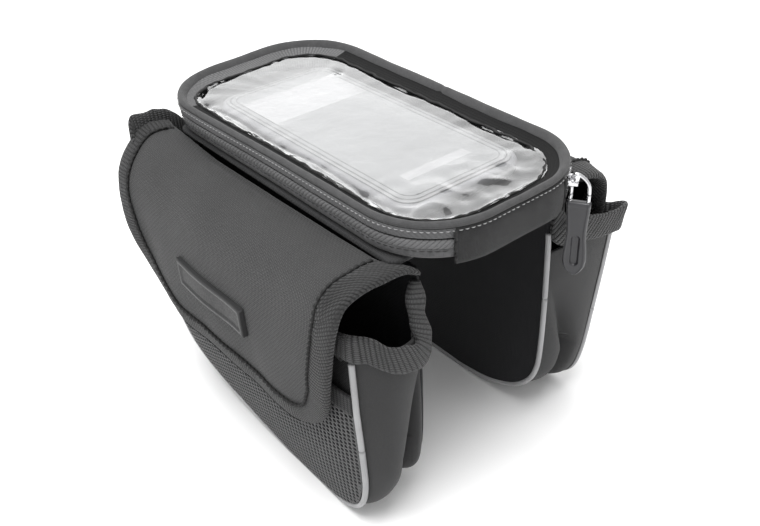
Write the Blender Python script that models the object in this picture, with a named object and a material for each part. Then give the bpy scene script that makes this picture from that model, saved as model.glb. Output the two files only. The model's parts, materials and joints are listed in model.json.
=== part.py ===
"""Top tube phone bag: a zipped phone case on a saddle, with a flapped bag on each side of the bicycle's top tube.

Metres, +Z up. The origin is the middle of the saddle's underside, where it rests on the top tube.
+X runs along the top tube to the end where the lid is hinged, and +Y is the side where the zip ends.
"""

import math

import bmesh
import bpy
from mathutils import Matrix, Vector

# Clearances
GAP = 0.0003  # between pieces that are sewn or laid together
SLIDE_GAP = 0.0002  # around the slider's neck in the slit of the zip

# Phone case, in plan
CASE_LENGTH = 0.204
CASE_WIDTH = 0.097
CASE_CORNER = 0.034
SEAM_LEFT = 0.031  # how far out the zip tapes end and the plain end wall starts
SEAM_RIGHT = 0.027
CORNER_STEPS = 9

# Side bags. Heights are over the saddle's underside, so these are negative
GROUND = -0.1345  # the surface that the bags stand on, off the bicycle
BAG_LENGTH = 0.168
BAG_FLAT = 0.060  # the flat length that the bag stands on
BAG_CORNER_HEIGHT = 0.032
CHANNEL_HALF = 0.036  # half the room for the top tube
INNER_PANEL = 0.0025
OUTER_PANEL = 0.0040
GUSSET_DEPTH = 0.0309  # width of the gusset, from panel to panel
GUSSET_SHEET = 0.0015
RIM_HEIGHT = -0.0275
SADDLE_BASE = 0.0
SADDLE_SHEET = 0.0027

# Piping
PIPING_RADIUS = 0.0013
OUTER_PIPING_TOP = -0.0395
INNER_PIPING_TOP = -0.0175

# Binding tape
TAPE = 0.0010
TAPE_WIDTH = 0.010
UPRIGHT_TOP = -0.0075
UPRIGHT_WIDTH = 0.008

# Mesh pocket
MESH_SHEET = 0.0010
MESH_TOP = -0.0615
MESH_HEM_WIDTH = 0.010
MESH_PITCH = 0.0098
MESH_HOLE = 0.0070
MESH_BORDER = 0.005

# Flap
FLAP_SHEET = 0.0015
FLAP_HINGE_Y = 0.0515
FLAP_RISE = 0.0008  # of the hinge line over the underside of the saddle
FLAP_BINDING_START = 0.004
FLAP_TOP_HALF = 0.088
FLAP_LOW_HALF = 0.073
FLAP_CORNER = 0.026
FLAP_DROP = 0.084
FLAP_RUN = 0.006  # half of the level run beside the case
FLAP_SHOULDER_OUT = 0.0132  # the shoulder's centre, out and down from the hinge
FLAP_SHOULDER_DROP = 0.0195
FLAP_SHOULDER = 0.0180
FLAP_PULL_IN = 0.0041  # of the flap's lower edge, towards the bag
BADGE_LENGTH = 0.054
BADGE_HEIGHT = 0.020
BADGE_SHEET = 0.0015
BADGE_MIDDLE_X = -0.006
BADGE_DROP = 0.052  # from the hinge down to the badge's middle

# Hook-and-loop closure
PATCH_LENGTH = 0.060
PATCH_HEIGHT = 0.012
PATCH_SHEET = 0.0020

# Case walls, from the saddle up
FLOOR_SHEET = 0.0025
WALL_SHEET = 0.0015
WALL_BAND = 0.0049
TAPE_SHEET = 0.0010
ZIP_BAND = 0.0038
ZIP_SLIT = 0.0010
COIL_RADIUS = 0.0007
RING_RADIUS = 0.0019
RING_OVERHANG = 0.0010
FILM_SHEET = 0.0006
FILM_DROP = 0.0008  # of the film's level edge, below the ring's middle
FILM_LEDGE = 0.0010  # width of that edge
FILM_SLOPE = 0.0070  # width of the sloping border inside it
FILM_DIP = 0.0029  # of the flat middle, below the edge

# Phone and its cushion
PHONE_LENGTH = 0.148
PHONE_WIDTH = 0.0684
PHONE_CORNER = 0.010
CUSHION_SHEET = 0.0013
CUSHION_INSET = 0.004
SCREEN_SHEET = 0.0006
SCREEN_INSET = 0.0025

# Zip slider and pull
SLIDER_ANGLE = math.radians(32)  # round the corner, from +X
PLATE_SHEET = 0.0010
PLATE_HALF_HEIGHT = 0.0035
SLIDER_HALF_LENGTH = 0.0040
NECK_HALF = ZIP_SLIT / 2 - SLIDE_GAP
WING_SHEET = 0.0009
BAR = 0.0013
POST = 0.0016
WIRE_RADIUS = 0.00075
LOOP_WIDTH = 0.0067
LOOP_HEIGHT = 0.0095
TAB_WIDTH = 0.0103
TAB_WAIST = 0.0088
TAB_LENGTH = 0.037
TAB_HALF_SHEET = 0.0012
SLOT_WIDTH = 0.0026
SLOT_LENGTH = 0.014

# Straps under the saddle
STRAP_WIDTH = 0.025
STRAP_SHEET = 0.0012
STRAP_INSET = 0.032  # from the saddle's end to the strap's middle
STRAP_REACH = 0.032  # half of the strap's folded length
STRAP_TAIL = 0.006  # by which the folded half is shorter
STRAP_FOLD_GAP = 0.0008

# Heights that follow from the values above
SADDLE_TOP = SADDLE_BASE + SADDLE_SHEET
CASE_BASE = SADDLE_TOP + GAP
FLOOR_TOP = CASE_BASE + FLOOR_SHEET
BAND_TOP = CASE_BASE + WALL_BAND
LOWER_TAPE_BASE = BAND_TOP + GAP
LOWER_TAPE_TOP = LOWER_TAPE_BASE + ZIP_BAND
SLIT_MIDDLE = LOWER_TAPE_TOP + ZIP_SLIT / 2
UPPER_TAPE_BASE = LOWER_TAPE_TOP + ZIP_SLIT
WALL_TOP = UPPER_TAPE_BASE + ZIP_BAND
RING_MIDDLE = WALL_TOP + GAP + RING_RADIUS
RING_INSET = RING_RADIUS - RING_OVERHANG
FILM_BASE = RING_MIDDLE - FILM_DROP - FILM_SHEET / 2
CUSHION_TOP = FLOOR_TOP + GAP + CUSHION_SHEET
PHONE_BASE = CUSHION_TOP + GAP
SCREEN_TOP = FILM_BASE - FILM_DIP - GAP
PHONE_TOP = SCREEN_TOP - SCREEN_SHEET - GAP

# Sideways places of the left or right bag, as distances from the middle plane
PANEL_OUT = CHANNEL_HALF + INNER_PANEL
GUSSET_IN = PANEL_OUT + GAP
GUSSET_OUT = GUSSET_IN + GUSSET_DEPTH
OUTER_IN = GUSSET_OUT + GAP
OUTER_OUT = OUTER_IN + OUTER_PANEL
PIPING_INSET = PIPING_RADIUS
PANEL_INSET = 2 * PIPING_RADIUS + GAP

# The loop patch sits midway between the mesh pocket's hem and the rim's tape
RIM_TOP = RIM_HEIGHT + GAP + TAPE
RIM_LOW = RIM_TOP - TAPE_WIDTH
HEM_TOP = MESH_TOP + GAP + MESH_HEM_WIDTH
PATCH_MIDDLE = (HEM_TOP + RIM_LOW) / 2

BLACK_CLOTH = ("black_cloth", (0.035, 0.035, 0.037), 0.85, 0.0)
BLACK_TAPE = ("black_tape", (0.030, 0.030, 0.032), 0.80, 0.0)
PLAIN_CLOTH = ("plain_cloth", (0.045, 0.045, 0.047), 0.90, 0.0)
MESH_CLOTH = ("mesh_cloth", (0.060, 0.060, 0.062), 0.70, 0.0)
GREY_PIPING = ("grey_piping", (0.24, 0.24, 0.25), 0.45, 0.0)
CLEAR_FILM = ("clear_film", (0.85, 0.87, 0.88), 0.08, 0.0)
RUBBER = ("rubber", (0.030, 0.031, 0.033), 0.55, 0.0)
STEEL = ("steel", (0.62, 0.62, 0.63), 0.25, 1.0)
FOAM = ("foam", (0.08, 0.08, 0.08), 0.95, 0.0)
SCREEN_GLASS = ("screen_glass", (0.70, 0.71, 0.72), 0.12, 0.0)
HOOK_AND_LOOP = ("hook_and_loop", (0.020, 0.020, 0.020), 0.95, 0.0)

bag = bpy.data.collections.new("top_tube_phone_bag")
cutters = bpy.data.collections.new("cutters")


def clear_scene():
    for obj in list(bpy.data.objects):
        bpy.data.objects.remove(obj)
    bpy.context.scene.collection.children.link(bag)
    bpy.context.scene.collection.children.link(cutters)


def material(finish):
    name, colour, roughness, metallic = finish
    made = bpy.data.materials.get(name)
    if made is None:
        made = bpy.data.materials.new(name)
        made.use_nodes = True
        shader = made.node_tree.nodes["Principled BSDF"]
        shader.inputs["Base Color"].default_value = (*colour, 1)
        shader.inputs["Roughness"].default_value = roughness
        shader.inputs["Metallic"].default_value = metallic
    return made


def joint_empty(name, place):
    """An empty on a joint's axis, which the moving pieces are parented to."""
    empty = bpy.data.objects.new(name, None)
    empty.location = place
    bag.objects.link(empty)
    bpy.context.view_layer.update()
    return empty


def hang_on(empty, *pieces):
    bpy.context.view_layer.update()
    for piece in pieces:
        piece.parent = empty
        piece.matrix_parent_inverse = empty.matrix_world.inverted()


# How a flat outline's own axes lie in the object: its first, second and extruded axis
PLANES = {
    "XY": Matrix(((1, 0, 0), (0, 1, 0), (0, 0, 1))),
    "XZ": Matrix(((1, 0, 0), (0, 0, -1), (0, 1, 0))),
    "YZ": Matrix(((0, 0, 1), (1, 0, 0), (0, 1, 0))),
}


def slab(name, loops, plane, low, high, finish, place=None):
    """A flat outline, with any holes, thickened from low to high along the plane's third axis."""
    curve = bpy.data.curves.new(name, "CURVE")
    curve.dimensions = "2D"
    curve.fill_mode = "BOTH"
    curve.extrude = (high - low) / 2
    for loop in loops:
        spline = curve.splines.new("POLY")
        spline.points.add(len(loop) - 1)
        for point, (u, v) in zip(spline.points, loop):
            point.co = (u, v, 0, 1)
        spline.use_cyclic_u = True
    turn = PLANES[plane].to_4x4()
    shift = Vector({"XY": (0, 0, 1), "XZ": (0, 1, 0), "YZ": (1, 0, 0)}[plane]) * (low + high) / 2
    outline = bpy.data.objects.new(name, curve)
    outline.matrix_world = (place or Matrix()) @ Matrix.Translation(shift) @ turn
    return as_mesh(outline, finish)


def as_mesh(outline, finish):
    """The welded mesh of a curve object, in place of the curve."""
    bag.objects.link(outline)
    bpy.context.view_layer.update()
    graph = bpy.context.evaluated_depsgraph_get()
    mesh = bpy.data.meshes.new_from_object(outline.evaluated_get(graph))
    name, matrix = outline.name, outline.matrix_world.copy()
    bpy.data.objects.remove(outline)
    shape = bmesh.new()
    shape.from_mesh(mesh)
    bmesh.ops.remove_doubles(shape, verts=shape.verts, dist=1e-6)
    bmesh.ops.recalc_face_normals(shape, faces=shape.faces)
    shape.to_mesh(mesh)
    shape.free()
    piece = bpy.data.objects.new(name, mesh)
    piece.matrix_world = matrix
    mesh.materials.clear()
    mesh.materials.append(material(finish))
    bag.objects.link(piece)
    return piece


def tube(name, points, radius, finish, cyclic=False, resolution=2, place=None):
    """A round cord or wire through the points."""
    curve = bpy.data.curves.new(name, "CURVE")
    curve.dimensions = "3D"
    curve.bevel_depth = radius
    curve.bevel_resolution = resolution
    curve.use_fill_caps = not cyclic
    spline = curve.splines.new("POLY")
    spline.points.add(len(points) - 1)
    for point, co in zip(spline.points, points):
        point.co = (*co, 1)
    spline.use_cyclic_u = cyclic
    cord = bpy.data.objects.new(name, curve)
    cord.matrix_world = place or Matrix()
    return as_mesh(cord, finish)


def as_cutter(piece):
    bag.objects.unlink(piece)
    cutters.objects.link(piece)
    piece.hide_render = True
    piece.display_type = "WIRE"
    return piece


def combine(piece, other, operation):
    modifier = piece.modifiers.new(operation.lower(), "BOOLEAN")
    modifier.operation = operation
    modifier.solver = "EXACT"
    modifier.object = as_cutter(other)


def arc(middle, radius, start, end, steps):
    """Points on an arc, with both ends, angles in radians."""
    turns = [start + (end - start) * i / steps for i in range(steps + 1)]
    return [(middle[0] + radius * math.cos(t), middle[1] + radius * math.sin(t)) for t in turns]


def mirrored(points):
    """The points and their mirror images across the first axis, as one open path."""
    return points + [(-u, v) for u, v in reversed(points)]


def rounded_rectangle(length, width, corner, steps=CORNER_STEPS):
    u, v, quarter = length / 2 - corner, width / 2 - corner, math.pi / 2
    places = ((u, v), (-u, v), (-u, -v), (u, -v))
    loop = []
    for i, place in enumerate(places):
        loop += arc(place, corner, i * quarter, (i + 1) * quarter, steps)
    return loop


def case_outline(inset):
    return rounded_rectangle(CASE_LENGTH - 2 * inset, CASE_WIDTH - 2 * inset, CASE_CORNER - inset)


CORNER_X = CASE_LENGTH / 2 - CASE_CORNER
CORNER_Y = CASE_WIDTH / 2 - CASE_CORNER


def seam_angle(radius, seam):
    return math.asin((seam - CORNER_Y) / radius)


def zip_half(inset, seam):
    """The case's outline from a seam round to the middle of the far end, on the +Y side."""
    radius = CASE_CORNER - inset
    near = arc((CORNER_X, CORNER_Y), radius, seam_angle(radius, seam), math.pi / 2, CORNER_STEPS)
    return near + arc((-CORNER_X, CORNER_Y), radius, math.pi / 2, math.pi, CORNER_STEPS)


def zip_path(inset, clear):
    """The case's outline from the seam at +Y, round the far end, to the seam at -Y."""
    left = zip_half(inset, SEAM_LEFT + clear)
    return zip_half(inset, SEAM_RIGHT + clear) + [(x, -y) for x, y in reversed(left)]


def end_half(inset, seam):
    radius = CASE_CORNER - inset
    return arc((CORNER_X, CORNER_Y), radius, seam_angle(radius, seam), 0, CORNER_STEPS // 2)


def end_path(inset, clear):
    """The case's outline across the hinged end, from seam to seam."""
    left = end_half(inset, SEAM_LEFT - clear)
    return end_half(inset, SEAM_RIGHT - clear) + [(x, -y) for x, y in reversed(left)]


def bag_path(inset, top, steps=10):
    """The bag's outline seen from the side: down one end, along the bottom and up the other end."""
    half, flat = BAG_LENGTH / 2, BAG_FLAT / 2
    wide, high = half - flat - inset, BAG_CORNER_HEIGHT - inset
    bend = arc((0, 0), 1, 0, -math.pi / 2, steps)
    quarter = [(flat + wide * u, GROUND + BAG_CORNER_HEIGHT + high * v) for u, v in bend]
    return mirrored([(half - inset, top)] + quarter)


def band(outer, inner):
    """The closed outline between two open paths that run side by side."""
    return outer + inner[::-1]


def box(u0, v0, u1, v1):
    return [(u0, v0), (u1, v0), (u1, v1), (u0, v1)]


def side_slab(name, loops, near, far, side, finish):
    """A slab parallel to the bike's middle plane, from near to far on the given side of it."""
    low, high = sorted((side * near, side * far))
    return slab(name, loops, "XZ", low, high, finish)


# Phone case


def build_case():
    inner = case_outline(WALL_SHEET + GAP)
    slab("case_floor", [inner], "XY", CASE_BASE, FLOOR_TOP, FOAM)
    clear = GAP / 2
    wall = band(zip_path(0, clear), zip_path(WALL_SHEET, clear))
    slab("case_wall", [wall], "XY", CASE_BASE, BAND_TOP, PLAIN_CLOTH)
    tape = band(zip_path(0, clear), zip_path(TAPE_SHEET, clear))
    slab("zip_tape_lower", [tape], "XY", LOWER_TAPE_BASE, LOWER_TAPE_TOP, BLACK_TAPE)
    end_wall = band(end_path(0, clear), end_path(WALL_SHEET, clear))
    slab("case_end_wall", [end_wall], "XY", CASE_BASE, WALL_TOP, PLAIN_CLOTH)
    coil_line = zip_path(TAPE_SHEET + GAP + COIL_RADIUS, 2 * GAP)
    low = LOWER_TAPE_TOP - COIL_RADIUS
    tube("zip_coil_lower", [(x, y, low) for x, y in coil_line], COIL_RADIUS, BLACK_TAPE, resolution=1)


def dished(name, levels, sheet, finish):
    """A thin sheet through outlines at their own heights, from its edge inward, and flat inside the last."""
    count = len(levels[0][0])
    points = [(x, y, low + lift) for lift in (0, sheet) for outline, low in levels for x, y in outline]
    faces = []
    rings = [[start + i for i in range(count)] for start in range(0, len(points), count)]
    under, over = rings[: len(levels)], rings[len(levels):]
    pairs = list(zip(under, under[1:])) + list(zip(over, over[1:])) + [(under[0], over[0])]
    for a, b in pairs:
        faces += [(a[i - 1], a[i], b[i], b[i - 1]) for i in range(count)]
    mesh = bpy.data.meshes.new(name)
    mesh.from_pydata(points, [], faces + [under[-1], over[-1]])
    shape = bmesh.new()
    shape.from_mesh(mesh)
    bmesh.ops.recalc_face_normals(shape, faces=shape.faces)
    bmesh.ops.triangulate(shape, faces=shape.faces)
    shape.to_mesh(mesh)
    shape.free()
    mesh.materials.append(material(finish))
    piece = bpy.data.objects.new(name, mesh)
    bag.objects.link(piece)
    return piece


def build_lid():
    tape = band(zip_path(0, GAP / 2), zip_path(TAPE_SHEET, GAP / 2))
    upper = slab("zip_tape_upper", [tape], "XY", UPPER_TAPE_BASE, WALL_TOP, BLACK_TAPE)
    coil_line = zip_path(TAPE_SHEET + GAP + COIL_RADIUS, 2 * GAP)
    high = UPPER_TAPE_BASE + COIL_RADIUS
    coil_points = [(x, y, high) for x, y in coil_line]
    coil = tube("zip_coil_upper", coil_points, COIL_RADIUS, BLACK_TAPE, resolution=1)
    ring_points = [(x, y, RING_MIDDLE) for x, y in case_outline(RING_INSET)]
    ring = tube("lid_ring", ring_points, RING_RADIUS, PLAIN_CLOTH, cyclic=True)
    clear = math.sqrt(RING_RADIUS**2 - FILM_DROP**2) + RING_INSET + GAP
    border = ((0, 0), (FILM_LEDGE, 0), (FILM_LEDGE + FILM_SLOPE, FILM_DIP))
    levels = [(case_outline(clear + inward), FILM_BASE - dip) for inward, dip in border]
    film = dished("window_film", levels, FILM_SHEET, CLEAR_FILM)
    hinge = joint_empty("lid_hinge", (CASE_LENGTH / 2, 0, WALL_TOP + GAP / 2))
    hang_on(hinge, upper, coil, ring, film)


def build_phone():
    inset = 2 * CUSHION_INSET
    pad = rounded_rectangle(PHONE_LENGTH - inset, PHONE_WIDTH - inset, PHONE_CORNER, 4)
    slab("phone_cushion", [pad], "XY", FLOOR_TOP + GAP, CUSHION_TOP, FOAM)
    body = rounded_rectangle(PHONE_LENGTH, PHONE_WIDTH, PHONE_CORNER, 5)
    slab("phone_body", [body], "XY", PHONE_BASE, PHONE_TOP, RUBBER)
    inset = 2 * SCREEN_INSET
    corner = PHONE_CORNER - SCREEN_INSET
    screen = rounded_rectangle(PHONE_LENGTH - inset, PHONE_WIDTH - inset, corner, 5)
    slab("phone_screen", [screen], "XY", PHONE_TOP + GAP, SCREEN_TOP, SCREEN_GLASS)


# Zip slider and pull, built in a frame whose X points out of the wall at the slider


def slider_frame():
    middle = Vector((CORNER_X, CORNER_Y, SLIT_MIDDLE))
    return Matrix.Translation(middle) @ Matrix.Rotation(SLIDER_ANGLE, 4, "Z")


def build_slider():
    frame = slider_frame()
    wall = CASE_CORNER
    plate_in, plate_out = wall + GAP, wall + GAP + PLATE_SHEET
    wing_out = wall - TAPE_SHEET - GAP - 2 * COIL_RADIUS - 2 * GAP
    wing_in = wing_out - WING_SHEET
    height, neck = PLATE_HALF_HEIGHT, NECK_HALF
    # The wing behind the tapes hooks only the lower one, so the lid can lift away
    section = [(plate_out, -height), (plate_out, height), (plate_in, height), (plate_in, neck)]
    section += [(wing_in, neck), (wing_in, -height), (wing_out, -height), (wing_out, -neck)]
    section += [(plate_in, -neck), (plate_in, -height)]
    length = SLIDER_HALF_LENGTH
    slider = slab("zip_slider", [section], "XZ", -length, length, STEEL, frame)
    bar_in = plate_out + 4 * GAP + 2 * WIRE_RADIUS
    bar_out = bar_in + BAR
    root = plate_out - PLATE_SHEET / 2
    staple = [(root, -length), (bar_out, -length), (bar_out, length), (root, length)]
    inside = length - POST
    staple += [(root, inside), (bar_in, inside), (bar_in, -inside), (root, -inside)]
    bridge = slab("slider_bridge", [staple], "XY", -BAR / 2, BAR / 2, STEEL, frame)
    combine(slider, bridge, "UNION")

    bar_middle = (bar_in + bar_out) / 2
    turn = BAR / 2 + WIRE_RADIUS + 2 * GAP
    inner = bar_middle - turn
    outer = inner + LOOP_WIDTH
    top = turn
    low = top - LOOP_HEIGHT
    shoulder, foot = LOOP_WIDTH - turn - 0.001, 0.0012
    wire = arc((bar_middle, 0), turn, math.pi, math.pi / 2, 5)
    wire += arc((outer - shoulder, top - shoulder), shoulder, math.pi / 2, 0, 6)
    wire += arc((outer - foot, low + foot), foot, 0, -math.pi / 2, 3)
    wire += arc((inner + foot, low + foot), foot, -math.pi / 2, -math.pi, 3)
    points = [(u, 0, v) for u, v in wire]
    loop = tube("zip_pull_loop", points, WIRE_RADIUS, STEEL, cyclic=True, resolution=1, place=frame)

    middle = (inner + outer) / 2
    tab_top = low + WIRE_RADIUS + 2 * GAP
    tab = slab("zip_pull_tab", tab_outline(middle, tab_top), "XZ", -TAB_HALF_SHEET, TAB_HALF_SHEET, RUBBER, frame)
    tunnel = tube("tab_tunnel", points, WIRE_RADIUS + GAP, RUBBER, cyclic=True, resolution=1, place=frame)
    combine(tab, tunnel, "DIFFERENCE")

    corner_axis = joint_empty("slider_axis", (CORNER_X, CORNER_Y, SLIT_MIDDLE))
    pull_axis = joint_empty("pull_axis", frame @ Vector((bar_middle, 0, 0)))
    hang_on(corner_axis, slider, pull_axis)
    hang_on(pull_axis, loop, tab)


def tab_outline(middle, top):
    """The moulded tab: straight at the wire, a slight waist, a round end and a slot."""
    half, waist = TAB_WIDTH / 2, TAB_WAIST / 2
    end = top - TAB_LENGTH + half
    right = [(half * 0.92, top), (half, top - 0.0015), (waist, top - TAB_LENGTH * 0.45)]
    right += arc((0, end), half, math.radians(20), -math.pi / 2, 7)
    left = [(-u, v) for u, v in reversed(right[:-1])]
    slot_half = SLOT_WIDTH / 2
    slot_low = end - 0.001
    slot_high = slot_low + SLOT_LENGTH - SLOT_WIDTH
    slot = arc((0, slot_high), slot_half, 0, math.pi, 5) + arc((0, slot_low), slot_half, math.pi, 2 * math.pi, 5)
    return [[(middle + u, v) for u, v in loop] for loop in (right + left, slot)]


# Saddle


def build_saddle():
    half = BAG_LENGTH / 2
    edge = FLAP_HINGE_Y - FLAP_SHEET / 2 - GAP
    panel = rounded_rectangle(2 * half, 2 * edge, 0.004, 3)
    slab("saddle_panel", [panel], "XY", SADDLE_BASE, SADDLE_TOP, PLAIN_CLOTH)
    for end, name in ((1, "strap_front"), (-1, "strap_rear")):
        build_strap(name, end * (half - STRAP_INSET))


def build_strap(name, middle):
    """A strap folded flat against the underside of the saddle, as it is before it goes round the tube."""
    top = SADDLE_BASE - GAP
    bend_out = STRAP_SHEET + STRAP_FOLD_GAP / 2
    bend = (STRAP_REACH - bend_out, top - bend_out)
    outer = [(-STRAP_REACH, top)] + arc(bend, bend_out, math.pi / 2, -math.pi / 2, 6)
    tail = -STRAP_REACH + STRAP_TAIL
    outer += [(tail, top - 2 * bend_out)]
    inner = [(-STRAP_REACH, top - STRAP_SHEET)] + arc(bend, STRAP_FOLD_GAP / 2, math.pi / 2, -math.pi / 2, 6)
    inner += [(tail, top - STRAP_SHEET - STRAP_FOLD_GAP)]
    slab(name, [band(outer, inner)], "YZ", middle - STRAP_WIDTH / 2, middle + STRAP_WIDTH / 2, HOOK_AND_LOOP)


# Side bags: side is -1 for the left bag and +1 for the right one


def build_panels(label, side):
    inner_top = SADDLE_BASE - GAP
    inner = bag_path(PANEL_INSET, inner_top)
    side_slab(f"inner_panel_{label}", [inner], CHANNEL_HALF, PANEL_OUT, side, BLACK_CLOTH)
    outer = bag_path(PANEL_INSET, RIM_HEIGHT)
    side_slab(f"outer_panel_{label}", [outer], OUTER_IN, OUTER_OUT, side, BLACK_CLOTH)
    sheet = band(bag_path(0, RIM_HEIGHT), bag_path(GUSSET_SHEET, RIM_HEIGHT))
    side_slab(f"gusset_{label}", [sheet], GUSSET_IN, GUSSET_OUT, side, PLAIN_CLOTH)


def build_piping(label, side):
    for name, y, top in (
        ("piping_inner", PANEL_OUT - PIPING_RADIUS, INNER_PIPING_TOP),
        ("piping_outer", OUTER_IN + PIPING_RADIUS, OUTER_PIPING_TOP),
    ):
        line = [(x, side * y, z) for x, z in bag_path(PIPING_INSET, top)]
        tube(f"{name}_{label}", line, PIPING_RADIUS, GREY_PIPING)


def rim_path(spread):
    """The rim seen from above, spread outwards from the gusset's and the outer panel's faces."""
    x, y, corner = BAG_LENGTH / 2 + spread, OUTER_OUT + spread, 0.004
    bend = arc((x - corner, y - corner), corner, 0, math.pi / 2, 4)
    return mirrored([(x, GUSSET_IN)] + bend)


def inner_rim_path(spread):
    x, y = BAG_LENGTH / 2 - GUSSET_SHEET - spread, OUTER_IN - spread
    return mirrored([(x, GUSSET_IN), (x, y)])


def on_side(points, side):
    return [(x, side * y) for x, y in points]


def build_rim(label, side):
    """The tape folded over the rim, with an upright at each end where it climbs to the saddle."""
    thick = GAP + TAPE
    whole = band(on_side(rim_path(thick), side), on_side(inner_rim_path(thick), side))
    rim = slab(f"rim_binding_{label}", [whole], "XY", RIM_LOW, RIM_TOP, BLACK_TAPE)
    for end in (1, -1):
        x0 = end * (BAG_LENGTH / 2 - GUSSET_SHEET - thick)
        x1 = end * (BAG_LENGTH / 2 + thick)
        y0, y1 = side * GUSSET_IN, side * (GUSSET_IN + UPRIGHT_WIDTH)
        upright = slab("upright", [box(x0, y0, x1, y1)], "XY", RIM_HEIGHT, UPRIGHT_TOP, BLACK_TAPE)
        combine(rim, upright, "UNION")
    slot = band(slot_path(rim_path(GAP), side), slot_path(inner_rim_path(GAP), side))
    room = slab("rim_slot", [slot], "XY", RIM_LOW - GAP, RIM_HEIGHT + GAP, BLACK_TAPE)
    combine(rim, room, "DIFFERENCE")


def slot_path(path, side):
    """A rim path whose two ends run on past the tape, so that the cut is clean."""
    (x, y), (_, _) = path[0], path[-1]
    return on_side([(x, y - 0.002)] + path[1:-1] + [(-x, y - 0.002)], side)


def build_mesh_pocket(label, side):
    near = OUTER_OUT + GAP
    inset = PANEL_INSET + GAP
    sheet = bag_path(inset, MESH_TOP)
    holes = mesh_holes()
    side_slab(f"mesh_pocket_{label}", [sheet] + holes, near, near + MESH_SHEET, side, MESH_CLOTH)
    half = BAG_LENGTH / 2 - inset
    hem = box(-half, MESH_TOP + GAP, half, HEM_TOP)
    side_slab(f"mesh_hem_{label}", [hem], near, near + 1.6 * MESH_SHEET, side, BLACK_TAPE)


def mesh_holes():
    """Square holes on a grid, kept clear of the sheet's edge."""
    half, flat = BAG_LENGTH / 2, BAG_FLAT / 2
    holes = []
    rows = int((MESH_TOP - GROUND - 2 * MESH_BORDER) / MESH_PITCH)
    across = int((half - MESH_BORDER) / MESH_PITCH)
    for row in range(rows):
        z = MESH_TOP - MESH_BORDER - (row + 0.5) * MESH_PITCH
        for column in range(-across, across + 1):
            x = column * MESH_PITCH
            u = max(0, abs(x) + MESH_HOLE / 2 - flat) / (half - flat - MESH_BORDER)
            v = max(0, GROUND + BAG_CORNER_HEIGHT - z + MESH_HOLE / 2) / (BAG_CORNER_HEIGHT - MESH_BORDER)
            if u * u + v * v < 1 and u < 1:
                w = MESH_HOLE / 2
                holes.append(box(x - w, z - w, x + w, z + w))
    return holes


# Flap


def flap_line():
    """The middle of the flap's sheet in section, as distances out from and down from the hinge."""
    over = [(0.0, -FLAP_RISE), (FLAP_RUN, -FLAP_RISE * 3 / 4), (2 * FLAP_RUN, FLAP_RISE)]
    centre = (FLAP_SHOULDER_OUT, FLAP_SHOULDER_DROP)
    shoulder = arc(centre, FLAP_SHOULDER, -math.radians(80), -math.radians(5), 8)
    out, fall = FLAP_SHOULDER_OUT + FLAP_SHOULDER, FLAP_DROP - FLAP_SHOULDER_DROP
    down = []
    for step in range(1, 5):
        share = step / 4
        down.append((out - FLAP_PULL_IN * share**2, FLAP_SHOULDER_DROP + fall * share))
    return over + shoulder + down


def thickened(line, inside, outside):
    """The closed outline of an open line, spread to each side of it."""
    points = [Vector(p) for p in line]
    edges = ([], [])
    for i, point in enumerate(points):
        before, after = points[max(i - 1, 0)], points[min(i + 1, len(points) - 1)]
        along = (after - before).normalized()
        across = Vector((along.y, -along.x))
        edges[0].append(point + across * outside)
        edges[1].append(point - across * inside)
    return [tuple(p) for p in edges[0]] + [tuple(p) for p in reversed(edges[1])]


def flap_section(inside, outside, side, lead, past):
    line = flap_line()
    line[0] = (line[0][0] - lead, line[0][1])
    line.append((line[-1][0], line[-1][1] + past))
    loop = thickened(line, inside, outside)
    if lead == 0 and inside > 0 and outside > 0:
        # The sheet starts in a round edge on the hinge line, so that it turns beside the saddle
        edge = arc(line[0], FLAP_SHEET / 2, math.radians(95), math.radians(265), 6)
        loop += edge
    return [(side * (FLAP_HINGE_Y + u), SADDLE_BASE - v) for u, v in loop]


def flap_outline(inset, top):
    """The flap seen from the side: it narrows downwards and has round lower corners."""
    low = SADDLE_BASE - FLAP_DROP + inset
    corner = FLAP_CORNER - inset
    bend = arc((FLAP_LOW_HALF - inset - corner, low + corner), corner, math.radians(8), -math.pi / 2, 8)
    return mirrored([(FLAP_TOP_HALF - inset, top)] + bend)


def flap_piece(name, inside, outside, loops, side, finish, lead=0.0):
    """The flap's section drawn out along the bag and trimmed to an outline seen from the side."""
    reach = FLAP_TOP_HALF + 0.01
    section = flap_section(inside, outside, side, lead, 0.002)
    piece = slab(name, [section], "YZ", -reach, reach, finish)
    near, far = FLAP_HINGE_Y - 0.02, FLAP_HINGE_Y + 0.06
    trim = side_slab(name + "_trim", loops, near, far, side, finish)
    combine(piece, trim, "INTERSECT")
    return piece


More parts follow.
